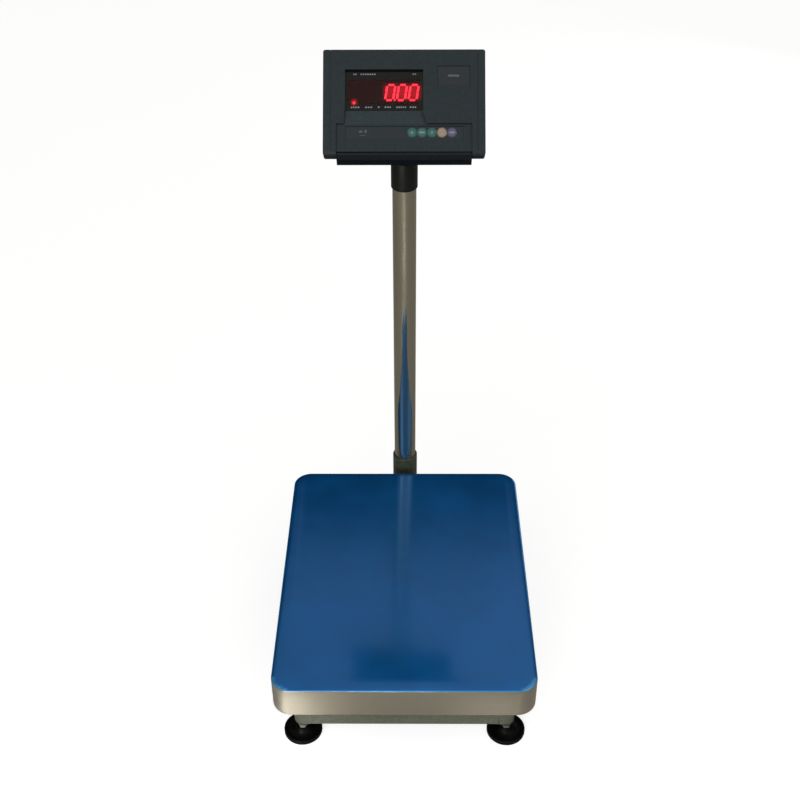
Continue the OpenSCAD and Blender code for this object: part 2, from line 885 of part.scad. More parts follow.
module zero_digit() {
    w = digit_w / 2;
    h = digit_h / 2;
    g = 0.5;
    t = 1.45;
    union() {
        for (sy = [-1, 1])
            segment(-w + t + g, sy * h, w - t - g, sy * h, t);
        for (sx = [-1, 1], y0 = [-h + t + g, g])
            segment(sx * w, y0, sx * w, y0 + h - t - 2 * g, t);
    }
}

module display_digits() {
    color([1, 0.06, 0.1]) on_face() translate([0, digit_s, -lens_d - 3.5]) union() {
        for (k = [0:2])
            translate([digit_right - (k + 0.5) * digit_pitch, 0, 0])
                linear_extrude(0.4) zero_digit();
        translate([digit_right - 2 * digit_pitch - 2, -digit_h / 2, 0])
            cylinder(r = 1.3, h = 0.4);
        translate([window_x + 13, window_s + 14 - digit_s, 0]) cylinder(r = 1.9, h = 0.4);
    }
}

module keypad_overlay() {
    color([0.17, 0.19, 0.2]) on_face() difference() {
        box_between([overlay_x0, overlay_s0, -pocket_d], [overlay_x1, overlay_s1, -overlay_d]);
        for (k = [0:4])
            translate([key_x + k * key_pitch, key_s, -pocket_d - 1]) cylinder(r = key_r + 0.3, h = 4);
    }
}

module key_board() {
    color([0.05, 0.2, 0.1]) on_face() union() {
        box_between([key_x - 12, key_s - 10, -14], [key_x + 4 * key_pitch + 12, key_s + 10, -12.4]);
        for (k = [0:4])
            translate([key_x + k * key_pitch, key_s, -13]) cylinder(r = 2, h = 2.4);
    }
}

module name_badge() {
    color([0.16, 0.18, 0.19])
        on_face_box(badge_x0 + 0.2, badge_x1 - 0.2, badge_s0 + 0.2, badge_s1 - 0.2, -badge_d, -badge_d + 0.8);
}

module key(k) {
    on_face() translate([key_x + k * key_pitch, key_s, -plate_d - 2.6]) union() {
        cylinder(r = key_r, h = plate_d + 2.6 - overlay_d + key_travel);
        cylinder(r = key_r + 0.6, h = 1.2);
    }
}

module key_1() {
    color([0.1, 0.55, 0.47]) key(0);
}

module key_2() {
    color([0.1, 0.55, 0.47]) key(1);
}

module key_3() {
    color([0.1, 0.55, 0.47]) key(2);
}

module key_4() {
    color([0.85, 0.4, 0.3]) key(3);
}

module key_5() {
    color([0.4, 0.35, 0.65]) key(4);
}

module main_board() {
    color([0.05, 0.2, 0.1]) on_face() union() {
        box_between([-85, 50, -41.6], [35, 125, -40]);
        box_between([-60, 70, -40.5], [-36, 94, -38]);
        box_between([-20, 60, -40.5], [0, 72, -34]);
        for (x = [-74, -10, 12])
            translate([x, 108, -40.5]) cylinder(r = 5, h = 14);
    }
}

module battery() {
    color([0.12, 0.12, 0.13])
        box_between([-97, col_y + 14, head_z + 4.5], [-27, col_y + 53, head_z + 50]);
}

module transformer() {
    color([0.35, 0.3, 0.15]) union() {
        box_between([45, col_y + 16, head_z + 4.5], [95, col_y + 50, head_z + 44]);
        box_between([56, col_y + 13, head_z + 12], [84, col_y + 53, head_z + 37]);
    }
}

module power_inlet() {
    y0 = col_y + rear_y;
    color([0.05, 0.05, 0.05]) union() {
        difference() {
            union() {
                box_between([inlet_x - 15, y0, ports_z - 12], [inlet_x + 15, y0 + rear_trim, ports_z + 12]);
                box_between([inlet_x - 12, y0 - 22, ports_z - 9], [inlet_x + 12, y0 + 1, ports_z + 9]);
            }
            box_between([inlet_x - 10, y0 - 18, ports_z - 7], [inlet_x + 10, y0 + 5, ports_z + 7]);
        }
        for (k = [-1:1])
            translate([inlet_x + k * 5 - 1, y0 - 19, ports_z - 2]) cube([2, 9, 4]);
    }
}

module signal_socket() {
    y0 = col_y + rear_y;
    color([0.6, 0.6, 0.6]) union() {
        box_between([-15.5, y0, head_z + 23.7], [15.5, y0 + 0.8, head_z + 36.3]);
        box_between([-8.5, y0 - 12, head_z + 25.5], [8.5, y0 + rear_trim, head_z + 34.5]);
    }
}

module switch_frame() {
    y0 = col_y + rear_y;
    color([0.04, 0.04, 0.04]) difference() {
        union() {
            box_between([switch_x - 11, y0, ports_z - 8], [switch_x + 11, y0 + 1.5, ports_z + 8]);
            box_between([switch_x - 9, y0 - 16, ports_z - 6], [switch_x + 9, y0 + 1, ports_z + 6]);
        }
        box_between([switch_x - 7.5, y0 - 13, ports_z - 4.5], [switch_x + 7.5, y0 + 5, ports_z + 4.5]);
        translate([switch_x - 8.3, y0 - 6, ports_z]) rotate([0, 90, 0])
            cylinder(r = 1.5 + run_c, h = 16.6);
    }
}

module switch_rocker() {
    color([0.6, 0.05, 0.05]) translate([switch_x, col_y + rear_y - 6, ports_z]) rotate([7, 0, 0])
        union() {
            across(14.4) polygon([[-4, -2], [7.6, -3.2], [6.4, 0], [7.6, 3.2], [-4, 2]]);
            translate([-8, 0, 0]) rotate([0, 90, 0]) cylinder(r = 1.5, h = 16);
        }
}

lower_rail_left();
lower_rail_right();
lower_rail_front();
lower_rail_rear();
lower_cell_beam();
foot_bosses();
foot_lock_nuts();
column_bracket();
column_socket();
socket_screws();
column_tube();
column_cap();
load_cell();
cell_spacers();
cell_bolts();
upper_cross_beam();
upper_rail_left();
upper_rail_right();
pan_buffers();
stop_screws();
stop_nuts();
level_body();
level_vial();
signal_cable();
pan();
pan_film();
foot_pad_fl();
foot_pad_fr();
foot_pad_rl();
foot_pad_rr();
foot_stud_fl();
foot_stud_fr();
foot_stud_rl();
foot_stud_rr();
swivel_spigot();
spigot_nut();
head_tray();
front_case();
rear_case();
case_screws();
battery_cover();
display_lens();
display_board();
display_modules();
display_digits();
keypad_overlay();
key_board();
name_badge();
main_board();
battery();
transformer();
power_inlet();
signal_socket();
switch_frame();
key_1();
key_2();
key_3();
key_4();
key_5();
switch_rocker();
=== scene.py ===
"""Looks for a bench scale: steel pan under blue film, painted frame, column and indicator."""
import json
import math

import bmesh
import bpy
from mathutils import Matrix, Vector


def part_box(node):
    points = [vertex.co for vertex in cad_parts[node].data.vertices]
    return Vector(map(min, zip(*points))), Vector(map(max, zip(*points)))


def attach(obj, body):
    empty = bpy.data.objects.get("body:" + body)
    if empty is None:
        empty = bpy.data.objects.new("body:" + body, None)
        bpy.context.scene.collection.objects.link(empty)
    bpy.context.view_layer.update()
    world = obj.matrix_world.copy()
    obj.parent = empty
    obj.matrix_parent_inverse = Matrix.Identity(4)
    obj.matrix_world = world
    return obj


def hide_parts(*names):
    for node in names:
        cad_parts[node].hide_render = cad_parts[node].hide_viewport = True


bl_info = {
    "name": "Bench scale finish",
    "version": (1, 0, 0),
    "blender": (4, 5, 0),
    "location": "View3D > Sidebar > Bench scale",
    "description": "Builds the visible surfaces of a bench weighing scale round its fixed frame",
    "category": "Object",
}

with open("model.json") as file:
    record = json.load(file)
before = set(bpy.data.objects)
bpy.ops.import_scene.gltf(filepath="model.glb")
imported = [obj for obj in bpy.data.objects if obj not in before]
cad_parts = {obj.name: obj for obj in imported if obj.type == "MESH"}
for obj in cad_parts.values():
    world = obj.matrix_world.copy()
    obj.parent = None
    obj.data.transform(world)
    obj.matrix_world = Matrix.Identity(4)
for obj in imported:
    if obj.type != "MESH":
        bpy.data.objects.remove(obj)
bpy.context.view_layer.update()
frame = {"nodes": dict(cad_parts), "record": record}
NODES = frame["nodes"]
SLOT_OF = {part["node"]: part["material_slot"] for part in frame["record"]["subparts"]}
MM = 0.001
GREY = (0.5, 0.5, 0.5, 1)
# light of the room: behind the scale and in front of it, low down and high up
ROOM_REAR_LOW, ROOM_REAR_HIGH = 0.006, 0.36
ROOM_FRONT_LOW, ROOM_FRONT_HIGH = 0.3, 0.46
# soft lights: name, place, what it points at, size, power in watts; the low ones light the floor
LIGHTS = (
    ("key_softbox", (-1.6, -1.9, 2.6), (0, 0, 0.3), (1.4, 1.4), 5),
    ("fill_softbox", (2.2, -1.2, 1.8), (0, 0, 0.4), (1.6, 1.6), 3),
    ("floor_patch", (-0.225, -0.4, 0.08), (-0.225, -0.399, 0), (0.045, 0.06), 0.2),
    ("floor_ahead", (-0.06, -0.95, 0.35), (-0.06, -0.949, 0), (0.12, 0.4), 0.9),
    ("floor_patch_right", (0.15, -0.4, 0.09), (0.15, -0.399, 0), (0.07, 0.06), 0.035),
    ("rear_softbox", (1.7, 2.4, 1.0), (0, 0.2, 0.5), (1.2, 1.2), 5),
    ("window_softbox", (-1.05, -2.65, 0.6), (-0.15, -0.2, 0.1), (1.2, 0.9), 16),
)


def centre(node):
    low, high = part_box(node)
    return (Vector(low) + Vector(high)) / 2


def lowest(node):
    return Vector(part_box(node)[0])


def highest(node):
    return Vector(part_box(node)[1])


PAN_CENTRE = centre("pan")
PAN_SIZE = highest("pan") - lowest("pan")
PAN_TOP = highest("pan").z
PAN_CORNER = 30 * MM
# camera: turn to the side, down and round its axis in degrees, place, focal length in mm
CAMERA_TURN = (-0.54294, 36.3866, -0.32421)
CAMERA_PLACE = Vector((0.0068, PAN_CENTRE.y - 1.35303, PAN_TOP + 1.34631))
CAMERA_LENS = 51.434
COLUMN_Y = centre("column_tube").y
FACE_TILT = math.radians(50)
FACE_FOOT = Vector((0, COLUMN_Y - 66.5 * MM, lowest("head_tray").z + 21 * MM))
# local axes on the face: X across, Y up the slope, Z out of the face
FACE = Matrix.Translation(FACE_FOOT) @ Matrix.Rotation(FACE_TILT, 4, "X")
# heights out of the face: window, key tops, keypad overlay round the keys, badge
LENS_DEPTH = 6 * MM
KEY_FIRST = Vector((11.8, 34.7, -3.7)) * MM
KEY_PITCH = 14.75 * MM
OVERLAY_TOP = -4.2 * MM
BADGE_TOP = -1.1 * MM
# edges of the clear part of the window and of the painted glow over the lit digits, and the place of the lamp
# with its painted glow, on the face
CLEAR_X, CLEAR_Y = (-0.0845, 0.0245), (0.0775, 0.1155)
DIGITS_X, DIGITS_Y = (-0.0285, 0.0225), (0.0865, 0.1065)
LAMP = Vector((-0.0747, 0.0815, -0.006))
# printed rows on the window: middle height, then the middle and width of each word's place
LOWER_ROW = (73.6, ((-73.2, 13.6), (-52.8, 11.6), (-37.9, 3.9), (-24.3, 10.7), (-4.3, 15.5), (13.2, 10.7)))
UPPER_ROW = (123.6, ((-73.2, 5.8), (-53.8, 23.3), (15.1, 5.8)))
# width and height of the printed mark on each key, and the key's colour
KEY_PRINT = ((3.0, 3.0, "green"), (8.4, 2.6, "green"), (2.6, 3.2, "green"), (7.6, 2.8, "orange"),
             (8.6, 2.6, "purple"))


def tint(red, green, blue):
    """Linear colour from 0-255 display values."""
    def channel(value):
        value /= 255
        return value / 12.92 if value <= 0.04045 else ((value + 0.055) / 1.055) ** 2.4
    return (channel(red), channel(green), channel(blue))


# ---------------------------------------------------------------- settings

def colour(name, words, value):
    return bpy.props.FloatVectorProperty(
        name=name, description=words, subtype="COLOR", size=3, min=0, max=1, default=value)


def length(name, words, value):
    return bpy.props.FloatProperty(
        name=name, description=words, unit="LENGTH", min=0, default=value)


class BenchScaleSizes(bpy.types.PropertyGroup):
    corner_radius: length("Pan corner", "Plan radius of the pan corners", PAN_CORNER)
    fold_radius: length("Pan fold", "Radius of the fold along the pan edge", 0.003)
    rim_width: length("Rim width", "Width of the gently sloping rim of the pan", 0.019)
    rim_drop: length("Rim drop", "Height the rim falls away towards the fold", 0.0012)
    sheet: length("Sheet", "Thickness of the pan sheet", 0.0012)
    film: length("Film", "Thickness of the protective film", 0.0002)
    mark: length("Printed mark", "Thickness of a printed mark", 0.00012)


class BenchScaleColours(bpy.types.PropertyGroup):
    film_blue: colour("Film", "Blue of the protective film", (0.001, 0.225, 0.74))
    pan_steel: colour("Pan steel", "Steel of the pan skirt", tint(190, 183, 168))
    column_steel: colour("Column steel", "Polished steel of the column", tint(186, 180, 162))
    frame_paint: colour("Frame paint", "Grey-green paint of the frame", tint(104, 108, 93))
    socket_paint: colour("Socket paint", "Dark paint of the column socket", tint(66, 76, 60))
    case_slate: colour("Case", "Slate plastic of the indicator", tint(45, 60, 67))
    black_plastic: colour("Black plastic", "Cap and switch plastic", tint(17, 17, 16))
    digit_red: colour("Digits", "Light of the digits", (1.0, 0.02, 0.04))
    key_green: colour("Green keys", "Colour of three of the keys", tint(75, 135, 128))
    key_orange: colour("Orange key", "Colour of the fourth key", tint(212, 182, 156))
    key_purple: colour("Purple key", "Colour of the fifth key", tint(122, 118, 160))
    mark_white: colour("Marks", "Printed marks", tint(172, 176, 178))
    floor_pale: colour("Floor", "Plain floor", (0.62, 0.61, 0.57))


# ---------------------------------------------------------------- node groups

def socket(group, name, kind, value=None, output=False):
    item = group.interface.new_socket(
        name=name, in_out="OUTPUT" if output else "INPUT", socket_type="NodeSocket" + kind)
    if value is not None:
        item.default_value = value
    return item


def new_group(name, inputs, outputs):
    group = bpy.data.node_groups.new(name, "ShaderNodeTree")
    for label, kind, value in inputs:
        socket(group, label, kind, value)
    for label, kind in outputs:
        socket(group, label, kind, output=True)
    nodes = group.nodes
    return group, nodes, group.links.new, nodes.new("NodeGroupInput"), nodes.new("NodeGroupOutput")


def math_node(nodes, link, operation, first, second=None, third=None):
    node = nodes.new("ShaderNodeMath")
    node.operation = operation
    for index, value in enumerate((first, second, third)):
        if value is None:
            continue
        if isinstance(value, (int, float)):
            node.inputs[index].default_value = value
        else:
            link(value, node.inputs[index])
    return node.outputs[0]


def noise_at(nodes, link, place, scale, detail=3.0, rough=0.55):
    node = nodes.new("ShaderNodeTexNoise")
    node.inputs["Detail"].default_value = detail
    node.inputs["Roughness"].default_value = rough
    link(place, node.inputs["Vector"])
    if isinstance(scale, (int, float)):
        node.inputs["Scale"].default_value = scale
    else:
        link(scale, node.inputs["Scale"])
    return node.outputs["Fac"]


def span(nodes, link, value, low, high, to_low=0.0, to_high=1.0):
    node = nodes.new("ShaderNodeMapRange")
    node.inputs["From Min"].default_value = low
    node.inputs["From Max"].default_value = high
    for socket_name, target in (("To Min", to_low), ("To Max", to_high)):
        if isinstance(target, (int, float)):
            node.inputs[socket_name].default_value = target
        else:
            link(target, node.inputs[socket_name])
    link(value, node.inputs["Value"])
    return node.outputs["Result"]


def mixed(nodes, link, factor, first, second, blend="MIX"):
    node = nodes.new("ShaderNodeMix")
    node.data_type = "RGBA"
    node.blend_type = blend
    for index, value in ((0, factor), (6, first), (7, second)):
        if isinstance(value, (int, float)):
            node.inputs[index].default_value = value
        elif isinstance(value, tuple):
            node.inputs[index].default_value = (*value[:3], 1)
        else:
            link(value, node.inputs[index])
    return node.outputs[2]


def object_place(nodes):
    return nodes.new("ShaderNodeTexCoord").outputs["Object"]


def make_mould_grain():
    """Fine spark-eroded texture of moulded plastic."""
    group, nodes, link, enter, leave = new_group(
        "mould_grain",
        [("Scale", "Float", 2600.0), ("Tone", "Float", 0.08), ("Base", "Color", GREY)],
        [("Color", "Color"), ("Height", "Float"), ("Mask", "Float")])
    place = object_place(nodes)
    fine = noise_at(nodes, link, place, enter.outputs["Scale"], 2.0)
    broad = noise_at(nodes, link, place, 22.0, 3.0)
    shade = math_node(nodes, link, "MULTIPLY_ADD", span(nodes, link, broad, 0.3, 0.7, -1.0, 1.0),
                      enter.outputs["Tone"], 1.0)
    scaled = nodes.new("ShaderNodeVectorMath")
    scaled.operation = "SCALE"
    link(enter.outputs["Base"], scaled.inputs[0])
    link(shade, scaled.inputs["Scale"])
    link(scaled.outputs[0], leave.inputs["Color"])
    link(fine, leave.inputs["Height"])
    link(span(nodes, link, broad, 0.35, 0.7), leave.inputs["Mask"])
    return group


def make_brushed():
    """Lines left by rolling or polishing, long along one axis."""
    group, nodes, link, enter, leave = new_group(
        "brushed_lines",
        [("Stretch", "Vector", (1, 1, 1)), ("Tone", "Float", 0.1), ("Base", "Color", GREY),
         ("Low", "Float", 0.2), ("High", "Float", 0.35)],
        [("Color", "Color"), ("Height", "Float"), ("Roughness", "Float")])
    stretch = nodes.new("ShaderNodeVectorMath")
    stretch.operation = "MULTIPLY"
    link(object_place(nodes), stretch.inputs[0])
    link(enter.outputs["Stretch"], stretch.inputs[1])
    lines = noise_at(nodes, link, stretch.outputs[0], 1.0, 4.0, 0.65)
    shade = math_node(nodes, link, "MULTIPLY_ADD", span(nodes, link, lines, 0.3, 0.7, -1.0, 1.0),
                      enter.outputs["Tone"], 1.0)
    scaled = nodes.new("ShaderNodeVectorMath")
    scaled.operation = "SCALE"
    link(enter.outputs["Base"], scaled.inputs[0])
    link(shade, scaled.inputs["Scale"])
    broad = noise_at(nodes, link, object_place(nodes), 9.0, 2.0)
    both = math_node(nodes, link, "ADD", math_node(nodes, link, "MULTIPLY", lines, 0.6),
                     math_node(nodes, link, "MULTIPLY", broad, 0.4))
    link(scaled.outputs[0], leave.inputs["Color"])
    link(lines, leave.inputs["Height"])
    link(span(nodes, link, both, 0.35, 0.65, enter.outputs["Low"], enter.outputs["High"]),
         leave.inputs["Roughness"])
    return group


def make_edge_wear_and_shade():
    """Corners made lighter by rubbing, broken up by noise; given a darker colour instead, the same corners
    take painted shade.
    """
    group, nodes, link, enter, leave = new_group(
        "edge_wear_and_shade",
        [("Base", "Color", GREY), ("Worn", "Color", (0.7, 0.7, 0.7, 1)),
         ("Amount", "Float", 0.4)],
        [("Color", "Color")])
    point = nodes.new("ShaderNodeNewGeometry").outputs["Pointiness"]
    edge = span(nodes, link, point, 0.52, 0.62)
    broken = span(nodes, link, noise_at(nodes, link, object_place(nodes), 180.0, 4.0), 0.4, 0.62)
    mask = math_node(nodes, link, "MULTIPLY",
                     math_node(nodes, link, "MULTIPLY", edge, broken), enter.outputs["Amount"])
    link(mixed(nodes, link, mask, enter.outputs["Base"], enter.outputs["Worn"]), leave.inputs["Color"])
    return group


def make_dust():
    """Dust that settles in patches on faces that look up."""
    group, nodes, link, enter, leave = new_group(
        "settled_dust",
        [("Base", "Color", GREY), ("Dust", "Color", (0.35, 0.33, 0.3, 1)),
         ("Amount", "Float", 0.2)],
        [("Color", "Color")])
    normal = nodes.new("ShaderNodeSeparateXYZ")
    link(nodes.new("ShaderNodeNewGeometry").outputs["Normal"], normal.inputs[0])
    upward = span(nodes, link, normal.outputs["Z"], 0.2, 1.0)
    patchy = span(nodes, link, noise_at(nodes, link, object_place(nodes), 55.0, 5.0), 0.35, 0.75)
    mask = math_node(nodes, link, "MULTIPLY",
                     math_node(nodes, link, "MULTIPLY", upward, patchy), enter.outputs["Amount"])
    link(mixed(nodes, link, mask, enter.outputs["Base"], enter.outputs["Dust"]), leave.inputs["Color"])
    return group


def make_under_shade():
    """Darkens what turns under or over the edge of the slope; the sill catches more light."""
    group, nodes, link, enter, leave = new_group(
        "under_shade", [("Base", "Color", GREY), ("Least", "Float", 0.2)],
        [("Color", "Color")])
    normal = nodes.new("ShaderNodeSeparateXYZ")
    link(nodes.new("ShaderNodeNewGeometry").outputs["Normal"], normal.inputs[0])
    up = span(nodes, link, normal.outputs["Z"], -0.5, 0.56, enter.outputs["Least"], 1.0)
    sill = math_node(nodes, link, "MULTIPLY",
                     span(nodes, link, normal.outputs["Z"], 0.655, 0.69, 1.0, 1.45),
                     span(nodes, link, normal.outputs["Z"], 0.8, 0.92, 1.0, 0.35))
    up = math_node(nodes, link, "MULTIPLY", up, sill)
    scaled = nodes.new("ShaderNodeVectorMath")
    scaled.operation = "SCALE"
    link(enter.outputs["Base"], scaled.inputs[0])
    link(up, scaled.inputs["Scale"])
    link(scaled.outputs[0], leave.inputs["Color"])
    return group


def make_thread():
    """Ridges of a screw thread, one every pitch up the object."""
    group, nodes, link, enter, leave = new_group(
        "screw_thread", [("Pitch", "Float", 0.0015)], [("Height", "Float")])
    height = nodes.new("ShaderNodeSeparateXYZ")
    link(object_place(nodes), height.inputs[0])
    turns = math_node(nodes, link, "DIVIDE", height.outputs["Z"], enter.outputs["Pitch"])
    link(math_node(nodes, link, "PINGPONG", turns, 0.5), leave.inputs["Height"])
    return group


def make_face_window():
    """Masks over the slope of the indicator: the clear part of the window, and the painted glow round the lit
    digits and the lamp.
    """
    group, nodes, link, _, leave = new_group(
        "face_window", [], [("Clear", "Float"), ("Halo", "Float")])
    place = nodes.new("ShaderNodeVectorMath")
    place.operation = "SUBTRACT"
    link(object_place(nodes), place.inputs[0])
    place.inputs[1].default_value = FACE_FOOT
    turned = nodes.new("ShaderNodeVectorRotate")
    turned.rotation_type = "X_AXIS"
    turned.inputs["Angle"].default_value = -FACE_TILT
    link(place.outputs[0], turned.inputs["Vector"])
    parts = nodes.new("ShaderNodeSeparateXYZ")
    link(turned.outputs[0], parts.inputs[0])

    def inside(axis, edges, soft):
        low, high = edges
        rise = span(nodes, link, parts.outputs[axis], low - soft, low + soft)
        fall = span(nodes, link, parts.outputs[axis], high - soft, high + soft, 1.0, 0.0)
        return math_node(nodes, link, "MULTIPLY", rise, fall)

    clear = math_node(nodes, link, "MULTIPLY", inside("X", CLEAR_X, 0.0004), inside("Y", CLEAR_Y, 0.0004))
    digits = math_node(nodes, link, "MULTIPLY", inside("X", DIGITS_X, 0.0045), inside("Y", DIGITS_Y, 0.004))
    apart = nodes.new("ShaderNodeVectorMath")
    apart.operation = "DISTANCE"
    link(turned.outputs[0], apart.inputs[0])
    apart.inputs[1].default_value = LAMP
    lamp = span(nodes, link, apart.outputs["Value"], 0.0012, 0.0065, 1.0, 0.0)
    halo = math_node(nodes, link, "MAXIMUM", digits, lamp)
    link(clear, leave.inputs["Clear"])
    link(halo, leave.inputs["Halo"])
    return group


def make_sheet_edge():
    """Where the film has let go of the steel: a thin line round its edge; at the front corners a wider patch
    of painted highlight.
    """
    group, nodes, link, enter, leave = new_group(
        "sheet_edge", [("Width", "Float", 0.0016), ("Corner", "Float", 0.011)], [("Lifted_and_highlight", "Float")])
    place = object_place(nodes)
    parts = nodes.new("ShaderNodeSeparateXYZ")
    link(place, parts.inputs[0])
    past = []
    for axis in (0, 1):
        off = math_node(nodes, link, "SUBTRACT", parts.outputs[axis], PAN_CENTRE[axis])
        away = math_node(nodes, link, "ABSOLUTE", off)
        over = math_node(nodes, link, "SUBTRACT", away, PAN_SIZE[axis] / 2 - PAN_CORNER)
        past.append(math_node(nodes, link, "MAXIMUM", over, 0.0))
    square = math_node(nodes, link, "MULTIPLY", past[0], past[0])
    reach = math_node(nodes, link, "SQRT", math_node(nodes, link, "MULTIPLY_ADD", past[1], past[1], square))
    near = math_node(nodes, link, "SUBTRACT", PAN_CORNER, reach)
    steps = math_node(nodes, link, "DIVIDE", near, enter.outputs["Width"])
    line = span(nodes, link, steps, 0.5, 1.4, 0.7, 0.0)
    # at the corners a wider, ragged patch is painted highlight, and only the front corners get it
    shifted = math_node(nodes, link, "MULTIPLY_ADD", noise_at(nodes, link, place, 60.0, 3.0), 0.012, near)
    steps = math_node(nodes, link, "DIVIDE", shifted, enter.outputs["Corner"])
    wide = span(nodes, link, steps, 0.7, 1.2, 0.8, 0.0)
    turn = math_node(nodes, link, "MULTIPLY", past[0], past[1])
    front = span(nodes, link, parts.outputs["Y"], PAN_CENTRE.y - 0.1, PAN_CENTRE.y - 0.2)
    for mask in (span(nodes, link, turn, 0.00002, 0.00016), front):
        wide = math_node(nodes, link, "MULTIPLY", wide, mask)
    link(math_node(nodes, link, "MAXIMUM", line, wide), leave.inputs["Lifted_and_highlight"])
    return group


GROUPS = {}
MATERIALS = {}


def build_groups():
    GROUPS["grain"] = make_mould_grain()
    GROUPS["brushed"] = make_brushed()
    GROUPS["wear_and_edge_shade"] = make_edge_wear_and_shade()
    GROUPS["dust"] = make_dust()
    GROUPS["under"] = make_under_shade()
    GROUPS["thread"] = make_thread()
    GROUPS["window"] = make_face_window()
    GROUPS["sheet_edge"] = make_sheet_edge()


# ---------------------------------------------------------------- materials

class Finish:
    """A material being put together: its Principled shader, and short ways to add to it."""

    def __init__(self, name, **values):
        self.material = bpy.data.materials.new(name)
        self.material.use_nodes = True
        tree = self.material.node_tree
        self.nodes = tree.nodes
        self.link = tree.links.new
        self.shader = self.nodes["Principled BSDF"]
        for label, value in values.items():
            name_in = label.replace("_", " ")
            target = self.shader.inputs[name_in]
            target.default_value = (*value, 1) if isinstance(value, tuple) else value
        MATERIALS[name] = self

    def group(self, key, **values):
        node = self.nodes.new("ShaderNodeGroup")
        node.node_tree = GROUPS[key]
        for label, value in values.items():
            if isinstance(value, (int, float)):
                node.inputs[label].default_value = value
            elif isinstance(value, tuple):
                full = value if len(node.inputs[label].default_value) == 3 else (*value, 1)
                node.inputs[label].default_value = full
            else:
                self.link(value, node.inputs[label])
        return node

    def bump(self, height, strength, distance):
        node = self.nodes.new("ShaderNodeBump")
        node.inputs["Strength"].default_value = strength
        node.inputs["Distance"].default_value = distance
        self.link(height, node.inputs["Height"])
        self.link(node.outputs[0], self.shader.inputs["Normal"])
        return node

    def feed(self, output, label):
        self.link(output, self.shader.inputs[label])


def moulded(name, base, rough=0.45, grain=2600.0, depth=0.00002, wear_and_shade=1.6, dust=0.0, under=1.0,
            gloss=0.5):
    """Moulded plastic: fine grain, edges made lighter by rubbing or darker as painted shade, dust or painted
    shade if asked for.
    """
    finish = Finish(name, Roughness=rough, Specular_IOR_Level=gloss)
    grained = finish.group("grain", Scale=grain, Tone=0.025, Base=base)
    colour_out = grained.outputs["Color"]
    # a factor under one darkens the edges: painted shade, not rubbing
    edge_worn_and_shaded = tuple(min(1, value * wear_and_shade) for value in base)
    colour_out = finish.group("wear_and_edge_shade", Base=colour_out, Worn=edge_worn_and_shaded, Amount=0.35).outputs["Color"]
    if dust:
        colour_out = finish.group("dust", Base=colour_out, Amount=dust).outputs["Color"]
    if under < 1:
        colour_out = finish.group("under", Base=colour_out, Least=under).outputs["Color"]
    finish.feed(colour_out, "Base Color")
    finish.feed(span(finish.nodes, finish.link, grained.outputs["Mask"], 0, 1, rough - 0.03, rough + 0.05),
                "Roughness")
    finish.bump(grained.outputs["Height"], 0.15, depth)
    return finish


def metal(name, base, low, high, stretch, tone=0.08, depth=0.00002, strength=0.2):
    finish = Finish(name, Metallic=1.0)
    lines = finish.group("brushed", Stretch=stretch, Tone=tone, Base=base, Low=low, High=high)
    finish.feed(lines.outputs["Color"], "Base Color")
    finish.feed(lines.outputs["Roughness"], "Roughness")
    finish.bump(lines.outputs["Height"], strength, depth)
    return finish


def painted(name, base, rough=0.42, dust=0.15):
    finish = Finish(name, Roughness=rough)
    grained = finish.group("grain", Scale=420.0, Tone=0.06, Base=base)
    wear_and_shade = finish.group("wear_and_edge_shade", Base=grained.outputs["Color"], Worn=tint(150, 148, 138), Amount=0.5)
    dusty = finish.group("dust", Base=wear_and_shade.outputs["Color"], Amount=dust)
    finish.feed(dusty.outputs["Color"], "Base Color")
    finish.feed(span(finish.nodes, finish.link, grained.outputs["Mask"], 0, 1, rough - 0.08, rough + 0.1),
                "Roughness")
    finish.bump(grained.outputs["Height"], 0.3, 0.00012)
    return finish


def make_film(colours):
    """Glossy blue film drawn over steel: fine orange peel, faint mottling, long soft ripples."""
    finish = Finish("film_blue", Metallic=0.62, IOR=1.45, Coat_Roughness=0.11, Coat_IOR=1.45)
    nodes, link = finish.nodes, finish.link
    place = object_place(nodes)
    mottle = noise_at(nodes, link, place, 11.0, 4.0)
    deep = tuple(value * 0.84 for value in colours.film_blue)
    tone = mixed(nodes, link, span(nodes, link, mottle, 0.35, 0.65), deep, tuple(colours.film_blue))
    edge = finish.group("sheet_edge")
    # light blue along the edge where the film is lifted, and painted highlight at the front corners
    tone = mixed(nodes, link, edge.outputs["Lifted_and_highlight"], tone, tint(95, 190, 255))
    finish.feed(span(nodes, link, edge.outputs["Lifted_and_highlight"], 0, 1, 0.62, 0.2), "Metallic")
    finish.feed(tone, "Base Color")
    finish.feed(span(nodes, link, mottle, 0.3, 0.7, 0.2, 0.27), "Roughness")
    finish.shader.inputs["Coat Weight"].default_value = 1.0
    fine = noise_at(nodes, link, place, 700.0, 2.0)
    slow = noise_at(nodes, link, place, 16.0, 2.0)
    both = math_node(nodes, link, "MULTIPLY_ADD", slow, 6.0, fine)
    finish.bump(both, 0.3, 0.00003)
    return finish


def make_window():
    """Smoked window: black printed border, dark red clear part, and a painted red glow on the glass round the
    lit digits and the lamp.
    """
    window = Finish("window_dark", Roughness=0.12, IOR=1.49, Specular_IOR_Level=0.4)
    masks = window.group("window")
    nodes, link = window.nodes, window.link
    window.feed(mixed(nodes, link, masks.outputs["Clear"], tint(21, 23, 23), tint(66, 28, 26)), "Base Color")
    window.feed(span(nodes, link, masks.outputs["Clear"], 0, 1, 1.0, 0.52), "Alpha")
    # painted glow: the glass itself gives off red light round the digits and the lamp
    window.feed(mixed(nodes, link, masks.outputs["Halo"], (0.0, 0.0, 0.0), (0.5, 0.006, 0.013)),
                "Emission Color")
    window.shader.inputs["Emission Strength"].default_value = 1.0


